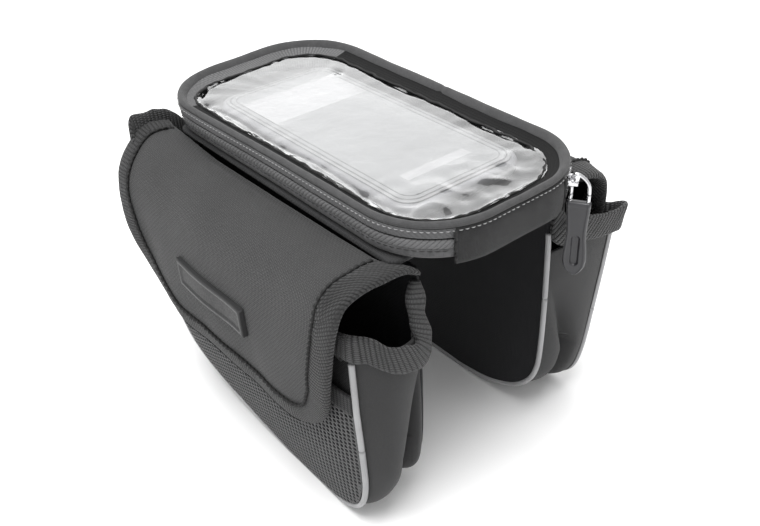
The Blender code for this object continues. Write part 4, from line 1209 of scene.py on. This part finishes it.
def swell(x, z):
    """How much a panel's face swells at a place: most in the middle, none along the edges."""
    u = np.clip(np.abs(x) / 0.084, 0, 1)
    v = np.clip((z - GROUND) / 0.107, 0, 1)
    return (1 - u**4) * np.sin(math.pi * np.clip(v, 0.0, 1) ** 0.8)


def outer_y(x, z, side, lift=0.0):
    """How far out the outer panel's face is. It leans in towards the ground, and the right one flares at its
    near top corner, where the rim was pulled open."""
    x, z = np.asarray(x, float), np.asarray(z, float)
    lean = 0.0030 * np.clip((-0.06 - z) / 0.075, 0, 1)
    out = OUTER_OUT - lean + 0.0030 * swell(x, z) + lift
    corner = np.clip((x - 0.030) / 0.058, 0, 1) ** 1.6 * np.clip((z + 0.112) / 0.080, 0, 1) ** 1.3
    if side > 0:
        out = out + 0.0145 * corner
    else:
        out = out + 0.0005 * corner
    return out


def fill_grid(kind, top, rows, columns):
    """A grid that fills a panel's outline up to a height."""
    line = outline_of(kind, 900)
    low = int(np.argmin(line[:, 1]))
    near, far = line[:low + 1][::-1], line[low:]
    z = line[low, 1] + (top - line[low, 1]) * np.linspace(0, 1, rows) ** 1.8
    z[0] += 0.00002
    right = np.interp(z, near[:, 1], near[:, 0])
    left = np.interp(z, far[:, 1], far[:, 0])
    share = np.linspace(0, 1, columns)
    x = left[:, None] + (right - left)[:, None] * share[None]
    return x, np.repeat(z[:, None], columns, axis=1)


def gusset(side, name):
    """The strip round the bag's ends and bottom. Its near end swells at the mouth, and a pleat low down parts it
    into two lobes. Its far end stands up higher, behind the flap."""
    count, columns = 320, 56
    inner = outline_of(INNER_LEFT if side < 0 else INNER_RIGHT, count, near_top=-0.0330, far_top=-0.012)
    outer = outline_of(OUTER_LINE, count, near_top=-0.0290)
    share = np.linspace(0, 1, columns)
    points = np.zeros((count, columns, 3))
    for i in range(count):
        (xi, zi), (xo, zo) = inner[i], outer[i]
        x, z = xi + (xo - xi) * share, zi + (zo - zi) * share
        h = np.clip((z - GROUND) / 0.107, 0, 1)
        near = np.clip((x - 0.030) / 0.045, 0, 1)
        far = np.clip((-x - 0.030) / 0.045, 0, 1)
        yo = float(outer_y(xo, zo, side)) - 0.0010
        y = PANEL_OUT + 0.0003 + (yo - PANEL_OUT - 0.0003) * share
        split = (0.30 if side < 0 else 0.55) * np.clip((0.80 - h) / 0.45, 0, 1) + 0.02
        main = np.where(share > split, np.sin(math.pi * np.clip((share - split) / (1 - split), 0, 1)) ** 0.75, 0)
        second = np.where(share <= split, np.sin(math.pi * np.clip(share / split, 0, 1)) ** 0.75, 0)
        low = np.clip((0.75 - h) / 0.5, 0, 1)
        tuck = np.exp(-(((share - split) / 0.10) ** 2)) * low
        if side < 0:
            out = (0.0078 - 0.0008 * (1 - h)) * main + 0.0046 * second * low - 0.0050 * tuck
        else:
            out = (0.0030 - 0.0010 * (1 - h)) * main + 0.0026 * second * low - 0.0060 * tuck
        back = (0.0050 * h + 0.0020) * np.sin(math.pi * share) ** 0.7 + 0.0035 * np.sin(3 * math.pi * share) * low
        bottom = np.clip((np.abs(x) - 0.030) / 0.050, 0, 1)
        points[i, :, 0] = x + out * near - back * far
        points[i, :, 1] = side * y
        points[i, :, 2] = np.maximum(z + 0.0006 * wave([i * 0.0013], 7 + side, 0.02)[0] * bottom * h, GROUND + 0.0002)
        if near[0] > 0:
            points[i, :, 2] = np.maximum(points[i, :, 2] + 0.0025 * tuck * near * (h < 0.4), GROUND + 0.0002)
    obj = sheet_mesh(name, points, GUSSET_CLOTH, flip=side < 0)
    return thicken(obj, 0.0010, -1.0, INNER_PAINTED_SHADE)


def panel(name, x, z, y, material, side, thickness, facing, inside=None):
    """A panel that faces away from the bicycle (facing 1) or towards it (facing -1)."""
    points = np.stack([x, side * y, z], axis=-1)
    obj = sheet_mesh(name, points, material, uv=np.stack([x, z], axis=-1), flip=side * facing < 0)
    return thicken(obj, thickness, -1.0, inside)


def edge_piping(name, side, line, y_of, radius, material=None):
    path = np.array([[x, side * y_of(x, z), max(z, GROUND + radius)] for x, z in line])
    outward = np.repeat(np.array([[0.0, float(side), 0.0]]), len(line), axis=0)
    return sweep(name, path, outward, circle(radius, 12), material or PIPING)


# %% [markdown]
# The pocket on the outer panel is an open net. Its holes are cut in the mesh itself: each cell is eight quads
# between the cell's border and an oval hole, and every other column is shifted by half a cell.


# %% Net pocket
NET_COLUMN, NET_ROW, NET_TOP = 0.00277, 0.0024, -0.0612


def net_pocket(side, name):
    line = outline_of(OUTER_LINE, 900)
    low = int(np.argmin(line[:, 1]))
    near, far = line[:low + 1][::-1], line[low:]
    inset = 0.0010

    def reach(z):
        return (float(np.interp(z - inset, far[:, 1], far[:, 0])) + inset,
                float(np.interp(z - inset, near[:, 1], near[:, 0])) - inset)

    verts, index, faces, corners = [], {}, [], []

    def vertex(x, z):
        x_low, x_high = reach(z)
        z = min(max(z, GROUND + 0.0016), NET_TOP)
        x = min(max(x, x_low), x_high)
        key = (round(x * 2e5), round(z * 2e5))
        if key not in index:
            index[key] = len(verts)
            y = float(outer_y(x, z, side, 0.0012)) + 0.0006 * float(swell(x, z))
            verts.append((x, side * y, z))
        return index[key]

    columns = int(0.172 / NET_COLUMN)
    start = -NET_COLUMN * columns / 2
    for i in range(columns):
        shift = NET_ROW / 2 if i % 2 else 0.0
        for j in range(-1, 33):
            x0, z1 = start + i * NET_COLUMN, NET_TOP - j * NET_ROW + shift - NET_ROW / 2
            z0 = z1 - NET_ROW
            cx, cz = x0 + NET_COLUMN / 2, (z0 + z1) / 2
            x_low, x_high = reach(cz)
            if cz < GROUND + 0.0008 or cz > NET_TOP + 0.0008 or not x_low - 0.0012 < cx < x_high + 0.0012:
                continue
            border = [(1, 0), (1, 1), (0, 1), (-1, 1), (-1, 0), (-1, -1), (0, -1), (1, -1)]
            ring, hole = [], []
            small = 0.3 if (cz > NET_TOP - 0.0010 or cz < GROUND + 0.0028) else 1.0
            small = 0.3 if not x_low + 0.0012 < cx < x_high - 0.0012 else small
            for k, (a, b) in enumerate(border):
                ring.append(vertex(cx + a * NET_COLUMN / 2, cz + b * NET_ROW / 2))
                turn = math.pi * k / 4
                hole.append(vertex(cx + 0.00104 * small * math.cos(turn), cz + 0.00088 * small * math.sin(turn)))
            for k in range(8):
                quad = [ring[k], ring[(k + 1) % 8], hole[(k + 1) % 8], hole[k]]
                if len(set(quad)) < 4:
                    quad = list(dict.fromkeys(quad))
                    if len(quad) < 3:
                        continue
                if side > 0:
                    quad.reverse()
                faces.append(quad)
                corners += [(verts[v][0], verts[v][2]) for v in quad]
    obj = add_object(name, verts, faces, corners, NET)
    return thicken(obj, 0.0005, 0.0)


# %% [markdown]
# The rim of each end is bound with wide tape that has rolled and twisted with use. `rim_band` lofts it between
# its lower and its upper edge, so it can stand up, lean and turn over as the real one does.


# %% Rim binding
def rim_band(name, pairs, side, thick=0.0030, count=150, seed=1):
    """A folded tape between two edge lines, given as pairs of (x, y, z) places in millimetres."""
    low = smooth_line(np.array([a for a, _ in pairs]) / 1000.0 * [1, side, 1], count)
    high = smooth_line(np.array([b for _, b in pairs]) / 1000.0 * [1, side, 1], count)
    up = high - low
    run = tangents((low + high) / 2, False)
    out = unit(np.cross(run, up))
    if np.sum(out[:, 0] * low[:, 0]) < 0:
        out = -out
    width = np.linalg.norm(up, axis=1, keepdims=True)
    up = up / width
    length = np.concatenate([[0], np.cumsum(np.linalg.norm(np.diff((low + high) / 2, axis=0), axis=1))])
    puff = 1 + 0.16 * wave(length, seed, 0.007)
    ripple = 0.0005 * wave(length, seed + 3, 0.006)
    section = [(0.0, 0.30), (0.10, 0.48), (0.30, 0.52), (0.55, 0.50), (0.80, 0.46), (0.95, 0.34), (1.0, 0.10),
               (1.0, -0.10), (0.95, -0.34), (0.80, -0.46), (0.55, -0.48), (0.30, -0.50), (0.10, -0.46), (0.0, -0.30)]
    points = np.zeros((count, len(section), 3))
    for j, (share, lift) in enumerate(section):
        points[:, j] = low + up * width * share + out * (lift * thick * puff)[:, None]
        points[:, j] += up * (ripple * (1 if share > 0.5 else -1))[:, None]
    obj = sheet_mesh(name, points, RIM_WEBBING, closed_v=True, caps=True)
    return obj


LEFT_NEAR_RIM = [
    ((76, -75.4, -32.0), (77, -74.6, -20.5)), ((84.5, -73.4, -32.6), (85, -72.4, -20.0)),
    ((88.2, -68.5, -33.6), (88.6, -68.6, -20.6)), ((91.0, -64.8, -36.6), (91.2, -65.2, -22.4)),
    ((93.2, -60.5, -40.2), (93.4, -61.5, -26.4)), ((94.2, -55.0, -42.8), (94.4, -57.0, -28.4)),
    ((94.2, -49.0, -44.4), (94.4, -52.0, -30.2)), ((93.6, -43.8, -45.0), (93.6, -48.0, -32.4)),
    ((92.2, -40.2, -43.6), (91.8, -46.0, -32.4)), ((91.0, -38.0, -38.6), (90.2, -46.4, -30.0)),
    ((90.0, -37.0, -33.0), (89.4, -46.8, -26.6)), ((89.2, -37.6, -28.0), (88.6, -47.0, -22.8)),
    ((88.4, -39.0, -23.4), (88.0, -46.8, -19.4)), ((87.4, -37.4, -19.8), (87.0, -46.8, -16.0)),
    ((86.6, -37.0, -15.6), (86.2, -45.8, -12.0)), ((86.0, -38.6, -9.6), (85.4, -43.0, -8.4)),
]
RIGHT_NEAR_RIM = [
    ((74, 77.0, -36.4), (74, 78.5, -24.0)), ((82, 82.5, -38.6), (82, 84.0, -25.6)),
    ((86.5, 85.2, -38.4), (87.6, 87.2, -23.8)), ((89.4, 83.0, -37.0), (91.4, 84.2, -22.6)),
    ((90.2, 77.0, -35.4), (91.8, 76.0, -22.2)), ((90.2, 70.0, -34.6), (91.6, 68.6, -21.2)),
    ((89.8, 62.0, -33.0), (91.0, 61.0, -18.8)), ((89.0, 54.0, -31.4), (89.6, 54.0, -17.6)),
    ((88.0, 47.0, -30.4), (88.4, 48.0, -17.2)), ((87.0, 41.5, -28.4), (87.2, 47.0, -16.0)),
    ((86.2, 38.6, -23.0), (86.2, 46.4, -13.6)), ((85.6, 38.8, -14.0), (85.4, 44.6, -9.6)),
]
FAR_RIM = [
    ((-77, 74.6, -24.0), (-79, 73.6, -9.0)), ((-85, 74.0, -20.0), (-88, 73.4, 1.0)),
    ((-89.5, 72.0, -10.0), (-92.6, 71.8, 9.8)), ((-91.5, 68.4, -5.0), (-94.0, 67.6, 11.6)),
    ((-92.2, 63.0, -4.0), (-94.6, 61.0, 10.4)), ((-92.2, 57.0, -4.4), (-94.4, 56.4, 10.2)),
    ((-91.8, 51.0, -5.6), (-93.6, 50.0, 8.2)), ((-90.0, 45.0, -8.0), (-91.6, 45.6, 4.0)),
    ((-87.5, 40.4, -12.0), (-88.5, 42.6, -1.0)), ((-85.6, 39.0, -14.0), (-85.8, 41.6, -4.0)),
]


def far_rim(side):
    """The far rim's edges. On the right it lies lower, behind the ring."""
    if side < 0:
        return FAR_RIM
    return [tuple((x, y, z - 13.0 * min(1, max(0, (z + 12) / 22))) for x, y, z in pair) for pair in FAR_RIM]


def far_cuff(side, name):
    """The gusset's cloth that rises behind the flap to the far rim."""
    low, high = [], []
    for (a, b) in far_rim(side):
        low.append((max(-0.0862, a[0] / 1000 + 0.002), side * a[1] / 1000, -0.030))
        high.append((a[0] / 1000 + 0.0004, side * a[1] / 1000, a[2] / 1000 + 0.003))
    low, high = smooth_line(low, 60), smooth_line(high, 60)
    share = np.linspace(0, 1, 14)
    points = low[:, None] + (high - low)[:, None] * share[None, :, None]
    points[:, :, 0] -= 0.0012 * np.sin(math.pi * share)[None]
    obj = sheet_mesh(name, points, GUSSET_CLOTH, flip=side < 0)
    return thicken(obj, 0.0010, -1.0, INNER_PAINTED_SHADE)


def build_bag(side, label):
    seed = 40 + side
    inner_line = INNER_LEFT if side < 0 else INNER_RIGHT
    settle(gusset(side, f"gusset_cloth_{label}"), "carrier", "plain_cloth", f"gusset_{label}")
    settle(far_cuff(side, f"gusset_far_cuff_{label}"), "carrier", "plain_cloth")

    x, z = fill_grid(inner_line, -0.0045, 60, 70)
    flat = PANEL_OUT - 0.0006 - 0.0012 * swell(x, z)
    inner = panel(f"inner_cloth_{label}", x, z, flat, BLACK_CLOTH, side, INNER_THICK, -1)
    settle(inner, "carrier", "black_cloth", f"inner_panel_{label}")

    x, z = fill_grid(OUTER_LINE, -0.0285, 70, 90)
    outer = panel(f"outer_cloth_{label}", x, z, outer_y(x, z, side), OUTER_CLOTH, side, OUTER_THICK, 1)
    settle(outer, "carrier", "black_cloth", f"outer_panel_{label}")
    settle(net_pocket(side, f"net_cloth_{label}"), "carrier", "mesh_cloth", f"mesh_pocket_{label}")

    hem_x = np.linspace(-0.0838, 0.0840, 110)
    rows = np.linspace(-0.0515, -0.0622, 8)
    gx, gz = np.meshgrid(hem_x, rows, indexing="ij")
    hem_y = outer_y(gx, gz, side, 0.0019) + 0.0005 * np.repeat(wave(hem_x, 61, 0.02)[:, None], 8, axis=1)
    hem = sheet_mesh(f"net_hem_{label}", np.stack([gx, side * hem_y, gz], axis=-1), HEM_CLOTH,
                     uv=np.stack([gx, gz], axis=-1), flip=side < 0)
    settle(thicken(hem, HEM_THICK, -1.0), "carrier", "black_tape", f"mesh_hem_{label}")

    outer_run = outline_of(OUTER_LINE, 300, near_top=-0.034, far_top=-0.034)
    settle(edge_piping(f"piping_cord_outer_{label}", side, outer_run,
                       lambda px, pz: float(outer_y(px, pz, side)) + 0.0004, PIPING_RADIUS), "carrier", "grey_piping",
           f"piping_outer_{label}")
    settle(edge_piping(f"piping_seam_outer_{label}", side, outer_run,
                       lambda px, pz: float(outer_y(px, pz, side)) - 0.0016, PIPING_SEAM, BLACK_THREAD), "carrier",
           "black_tape")
    inner_run = outline_of(inner_line, 300, near_top=-0.022, far_top=-0.022)
    if side < 0:  # the swollen gusset hides this cord at the near end
        inner_run[:, 0] -= 0.0048 * np.clip((inner_run[:, 0] - 0.050) / 0.030, 0, 1)
    settle(edge_piping(f"piping_cord_inner_{label}", side, inner_run, lambda px, pz: PANEL_OUT - 0.0004, 0.0013),
           "carrier", "grey_piping", f"piping_inner_{label}")

    near = LEFT_NEAR_RIM if side < 0 else RIGHT_NEAR_RIM
    near = [((a[0], abs(a[1]), a[2]), (b[0], abs(b[1]), b[2])) for a, b in near]
    parts = [rim_band("near_rim", near, side, seed=seed), rim_band("far_rim", far_rim(side), side, seed=seed + 3)]
    front = []
    for fx in (78, 60, 36, 12, -12, -36, -60, -80):
        fy = float(outer_y(fx / 1000, -0.030, side)) * 1000 + 0.2
        drop = -5.0 * max(0.0, (fx - 40) / 40) if side > 0 else 0.0
        front.append(((fx, fy, -36.4 + drop), (fx, fy, -25.2 + drop * 0.6)))
    parts.append(rim_band("front_rim", front, side, thick=0.0028, seed=seed + 5, count=170))
    settle(join(f"rim_tape_{label}", parts), "carrier", "black_tape", f"rim_binding_{label}")


for side, label in ((-1, "left"), (1, "right")):
    build_bag(side, label)
print("side bags done")

# %% [markdown]
# ## Zip pull
# The slider keeps its CAD shape with a polished metal. The wire loop and the rubber tab are rebuilt: the real loop
# is a tall bent D, and the tab has soft edges, a waist, a raised collar and a sunk slot.


# %% Zip pull
(tx0, ty0, tz0), (tx1, ty1, tz1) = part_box("zip_pull_tab")
(lx0, ly0, lz0), (lx1, ly1, lz1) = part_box("zip_pull_loop")
TAB_MIDDLE = np.array([(tx0 + tx1) / 2, (ty0 + ty1) / 2, 0.0])
OUT_WAY = unit(np.array([math.cos(math.radians(32)), math.sin(math.radians(32)), 0.0]))
ALONG_WAY = np.array([-OUT_WAY[1], OUT_WAY[0], 0.0])
DROP = 0.0040  # how much lower the real tab hangs than the wire's foot
WIRE_RADIUS = 0.00078


def pull_place(out, along, height):
    return TAB_MIDDLE + OUT_WAY * out + ALONG_WAY * along + np.array([0, 0, height])


def wire_loop():
    """The bent wire, a tall D that hangs from the slider's bridge."""
    low = tz1 - DROP - 0.0006
    knots = [(-0.0034, lz1 - 0.0010), (-0.0022, lz1 + 0.0001), (-0.0002, lz1 - 0.0004), (0.0022, lz1 - 0.0024),
             (0.0036, lz1 - 0.0052), (0.0038, low + 0.0030), (0.0036, low + 0.0006), (0.0026, low),
             (-0.0026, low), (-0.0036, low + 0.0006), (-0.0036, low + 0.0040), (-0.0036, lz1 - 0.0034)]
    line = smooth_line(knots + [knots[0]], 90)[:-1]
    path = np.array([pull_place(o, 0.0, z) for o, z in line])
    ways = np.repeat(ALONG_WAY[None], len(path), axis=0)
    return sweep("zip_wire", path, ways, circle(WIRE_RADIUS, 12), STEEL, closed=True)


def tab_half(height):
    """Half the tab's width at a share of its height, from 0 at the foot to 1 at the collar."""
    knots = [(0.0, 0.0), (0.02, 0.0018), (0.06, 0.0034), (0.13, 0.0047), (0.22, 0.0052), (0.34, 0.0050),
             (0.50, 0.0044),
             (0.62, 0.0043), (0.80, 0.0047), (0.95, 0.0051), (1.0, 0.0051)]
    return np.interp(height, [a for a, _ in knots], [b for _, b in knots])


def pull_tab():
    """The moulded tab: a grid over its face, front and back, with a rim, a collar and a slot."""
    top, foot = tz1 - DROP + 0.0003, tz0 - DROP + 0.0006
    rows, columns = 90, 33
    shares = np.sin(np.linspace(0, math.pi / 2, rows))
    across = np.linspace(-1, 1, columns)
    layers = []
    for face in (1, -1):
        grid = np.zeros((rows, columns, 3))
        for i, s in enumerate(1 - shares[::-1]):
            z = foot + (top - foot) * s
            half = float(tab_half(s))
            for j, a in enumerate(across):
                edge = half * (1 - abs(a))
                end = min(edge, (z - foot) * 0.8 + 0.0001)
                thick = 0.0012 * math.sqrt(max(0.0, 1 - (1 - min(1, end / 0.0010)) ** 2))
                thick += 0.00025 * math.exp(-(((end - 0.0009) / 0.0004) ** 2))
                if s > 0.93:
                    thick += 0.0005 * math.sin(math.pi * min(1, (s - 0.93) / 0.07))
                slot = math.hypot(half * a / 0.0015, max(0.0, abs(z - (foot + 0.0128)) - 0.0058) / 0.0015)
                if slot < 1.25:
                    thick -= (0.0011 * min(1.0, (1.25 - slot) / 0.35))
                grid[i, j] = pull_place(half * a, face * max(0.00005, thick), z)
        layers.append(grid)
    front = sheet_mesh("tab_front", layers[0], RUBBER, flip=True)
    back = sheet_mesh("tab_back", layers[1], RUBBER, flip=False)
    lid = np.stack([layers[0][-1], layers[1][-1]], axis=0)
    cap = sheet_mesh("tab_cap", lid, RUBBER, flip=False)
    tab = join("pull_tab", [front, back, cap])
    return weld(tab)


def weld(obj, distance=0.00002):
    mesh = bmesh.new()
    mesh.from_mesh(obj.data)
    bmesh.ops.remove_doubles(mesh, verts=mesh.verts, dist=distance)
    bmesh.ops.recalc_face_normals(mesh, faces=mesh.faces)
    mesh.to_mesh(obj.data)
    mesh.free()
    return obj


settle(wire_loop(), "pull", "steel", "zip_pull_loop")
settle(pull_tab(), "pull", "rubber", "zip_pull_tab")
print("pull tab from", tz0 - DROP, "to", tz1 - DROP)

# %% [markdown]
# ## Base and straps
# The case and the bags hang on a stiffened cloth base. Two wide straps are sewn under it, and each closes round
# the bicycle's tube. They are webbing folded once, so each is a flat loop.


# %% Base and straps
(sx0, sy0, sz0), (sx1, sy1, sz1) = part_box("saddle_panel")
base_pad = rounded_box("base_cloth", (0, 0), (sx1, sy1), 0.005, sz0, sz1, 0.0009, SADDLE_CLOTH)
settle(base_pad, "carrier", "plain_cloth", "saddle_panel")


def folded_strap(name, node):
    """A webbing strap folded flat: two layers joined by a round fold, with soft selvedges."""
    (ax0, ay0, az0), (ax1, ay1, az1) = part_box(node)
    thick = 0.0012
    gap = (az1 - az0) - 2 * thick
    radius = (az1 - az0 - thick) / 2
    middle_z = (az0 + az1) / 2
    line = [(y, az1 - thick / 2) for y in np.linspace(ay0 + 0.001, ay1 - radius - thick / 2, 30)]
    for turn in np.linspace(90, -90, 12)[1:-1]:
        t = math.radians(turn)
        line.append((ay1 - radius - thick / 2 + radius * math.cos(t), middle_z + radius * math.sin(t)))
    line += [(y, az0 + thick / 2) for y in np.linspace(ay1 - radius - thick / 2, ay0 + 0.0066, 26)]
    path = np.array([((ax0 + ax1) / 2, y, z) for y, z in line])
    run = tangents(path, False)
    normal = np.cross(run, np.array([[1.0, 0, 0]]))
    half = (ax1 - ax0) / 2
    section = [(half - 0.0003, 0.35), (half, 0.0), (half - 0.0003, -0.35), (half - 0.0012, -0.5)]
    section += [(-half + 0.0012, -0.5), (-half + 0.0003, -0.35), (-half, 0.0), (-half + 0.0003, 0.35)]
    section += [(-half + 0.0012, 0.5), (half - 0.0012, 0.5)]
    points = np.zeros((len(path), len(section), 3))
    for j, (side, lift) in enumerate(section):
        points[:, j] = path + np.array([side, 0, 0]) + normal * lift * thick
    print(name, "gap between its layers", round(gap, 4))
    return settle(sheet_mesh(name, points, STRAP_CLOTH, closed_v=True, caps=True), "carrier", "black_tape", node)


folded_strap("strap_webbing_front", "strap_front")
folded_strap("strap_webbing_rear", "strap_rear")

# %% CAD nodes that keep their shape
KEEP = {
    "zip_slider": STEEL, "zip_coil_lower": BLACK_THREAD, "zip_coil_upper": BLACK_THREAD, "hook_patch_left": HOOKS,
    "hook_patch_right": HOOKS, "loop_patch_left": HOOKS, "loop_patch_right": HOOKS,
}
for node, material in KEEP.items():
    obj = frame["nodes"][node]
    for part in [obj] + [c for c in obj.children_recursive if c.type == "MESH"]:
        if part.type != "MESH":
            continue
        if not part.material_slots:
            part.data.materials.append(material)
        for place in part.material_slots:
            place.link = "OBJECT"
            place.material = material
print("kept", len(KEEP), "CAD nodes")

# %% [markdown]
# ## Floor, light and camera
# A pale floor and soft light, with one large bright panel behind the bag. The film mirrors that panel, which
# gives the milky shine of the window. The plain colour transform keeps the black cloth as deep as in the
# photograph.

# %% Stage
bpy.context.scene.view_settings.view_transform = "Standard"
floor_mesh = bpy.data.meshes.new("floor")
floor_mesh.from_pydata([(-6, -6, GROUND), (6, -6, GROUND), (6, 6, GROUND), (-6, 6, GROUND)], [], [(0, 1, 2, 3)])
floor = bpy.data.objects.new("floor", floor_mesh)
bpy.context.scene.collection.objects.link(floor)
floor_material, g, shader = new_material("studio_floor")
shader.inputs["Base Color"].default_value = (0.90, 0.90, 0.90, 1)
shader.inputs["Roughness"].default_value = 0.9
floor_mesh.materials.append(floor_material)

world = bpy.context.scene.world or bpy.data.worlds.new("studio")
bpy.context.scene.world = world
world.use_nodes = True
background = world.node_tree.nodes.get("Background") or world.node_tree.nodes.new("ShaderNodeBackground")
background.inputs[0].default_value = (1, 1, 1, 1)
background.inputs[1].default_value = 0.85


def soft_light(name, place, aim, size, power):
    data = bpy.data.lights.new(name, "AREA")
    data.shape = "RECTANGLE"
    data.size, data.size_y = size
    data.energy = power
    light = bpy.data.objects.new(name, data)
    light.location = place
    light.rotation_euler = (Vector(aim) - Vector(place)).to_track_quat("-Z", "Y").to_euler()
    bpy.context.scene.collection.objects.link(light)
    return light


soft_light("back_panel", (-1.00, 0.76, 0.60), (0.0, 0.0, 0.02), (1.9, 1.05), 7.6)
soft_light("top_panel", (0.15, -0.25, 1.30), (0.0, 0.0, -0.05), (0.9, 0.9), 25)
soft_light("side_panel", (0.8, -1.0, 0.5), (0.0, 0.0, -0.05), (0.8, 0.8), 1.0)

# %% [markdown]
# The camera stands at the photograph's angle: in front of the hinged end, to the left and above, with a
# slight roll.


# %% Camera
def photo_camera():
    azimuth, elevation, roll = math.radians(52.7), math.radians(34.3), math.radians(-3.2)
    back = Vector((math.sin(azimuth) * math.cos(elevation), -math.cos(azimuth) * math.cos(elevation),
                   math.sin(elevation)))
    right = Vector((math.cos(azimuth), math.sin(azimuth), 0))
    up = back.cross(right)
    turned_right = right * math.cos(roll) + up * math.sin(roll)
    turned_up = -right * math.sin(roll) + up * math.cos(roll)
    target = Vector((0.02368, -0.01011, -0.0461))
    data = bpy.data.cameras.new("photo_camera")
    data.sensor_width = 36.0
    data.lens = 893.0 / 760.0 * 36.0
    camera = bpy.data.objects.new("photo_camera", data)
    bpy.context.scene.collection.objects.link(camera)
    matrix = camera.matrix_world.copy()
    for row in range(3):
        matrix[row][0], matrix[row][1], matrix[row][2] = turned_right[row], turned_up[row], back[row]
        matrix[row][3] = (target + back * 0.4263)[row]
    camera.matrix_world = matrix
    bpy.context.scene.camera = camera
    return camera


photo_camera()

# %% [markdown]
# ## Finish
# Each cloth's cut is measured on its metric map: its width, its length and its area.

def flat_cut(obj):
    """The size that a cloth was cut to: its width, its length and its area, measured on its metric map."""
    layer = obj.data.uv_layers["cloth"].data
    uv = np.array([tuple(corner.uv) for corner in layer])
    spans = uv.max(axis=0) - uv.min(axis=0)
    area = 0.0
    for face in obj.data.polygons:
        ring = uv[list(face.loop_indices)]
        ahead = np.roll(ring, -1, axis=0)
        area += abs(float(np.sum(ring[:, 0] * ahead[:, 1] - ring[:, 1] * ahead[:, 0]))) / 2
    return float(spans[0]), float(spans[1]), area


def mesh_area(obj):
    return float(sum(face.area for face in obj.data.polygons))


def closed_piece(obj):
    return not any(modifier.type == "SOLIDIFY" for modifier in obj.modifiers) and obj.name != "window_film_sheet"


CLOTHS = {}
for label in ("left", "right"):
    CLOTHS[f"flap_cloth_{label}"] = ("folded", ["base_cloth"], [f"flap_stitches_{label}", f"badge_plate_{label}"])
    CLOTHS[f"flap_tape_{label}"] = ("folded", [f"flap_cloth_{label}"], [])
    CLOTHS[f"gusset_cloth_{label}"] = ("gathered", [f"inner_cloth_{label}"], [])
    CLOTHS[f"gusset_far_cuff_{label}"] = ("hung", [f"gusset_cloth_{label}"], [])
    CLOTHS[f"rim_tape_{label}"] = ("folded", [f"gusset_cloth_{label}"], [])
    CLOTHS[f"inner_cloth_{label}"] = ("hung", ["base_cloth"], [f"piping_cord_inner_{label}"])
    CLOTHS[f"outer_cloth_{label}"] = ("stretched", [f"gusset_cloth_{label}"],
                                      [f"piping_cord_outer_{label}", f"piping_seam_outer_{label}"])
    CLOTHS[f"net_cloth_{label}"] = ("stretched", [f"outer_cloth_{label}"], [])
    CLOTHS[f"net_hem_{label}"] = ("stretched", [f"net_cloth_{label}"], [])
CLOTHS["end_wall_cloth"] = ("stretched", ["base_cloth"], ["case_wall_cloth", "zip_tape_lower_cloth", "wall_lining"])
CLOTHS["lid_lining_far"] = ("stretched", ["ring_piping"], ["lid_lining_near", "zip_tape_upper_cloth"])
CLOTHS["window_film_sheet"] = ("stretched", ["ring_piping"], ["film_edge_thread"])
for name in ("strap_webbing_front", "strap_webbing_rear"):
    CLOTHS[name] = ("folded", ["base_cloth"], [])
for name, (held, rests, extras) in CLOTHS.items():
    obj = bpy.data.objects[name]
    length, width, area = flat_cut(obj)
    if name == "window_film_sheet":  # its grid runs round and inward, so its cut is measured in plan
        spans = np.ptp(film_grid.reshape(-1, 3), axis=0)
        length, width, area = float(spans[0]) * 1.01, float(spans[1]) * 1.02, mesh_area(obj)
    elif closed_piece(obj):  # a thin closed shell has two faces of cloth
        width, area = width / 2, mesh_area(obj) / 2
    else:
        area = mesh_area(obj)
    length = max(length, area / width)  # a joined row of strips is as long as all of them
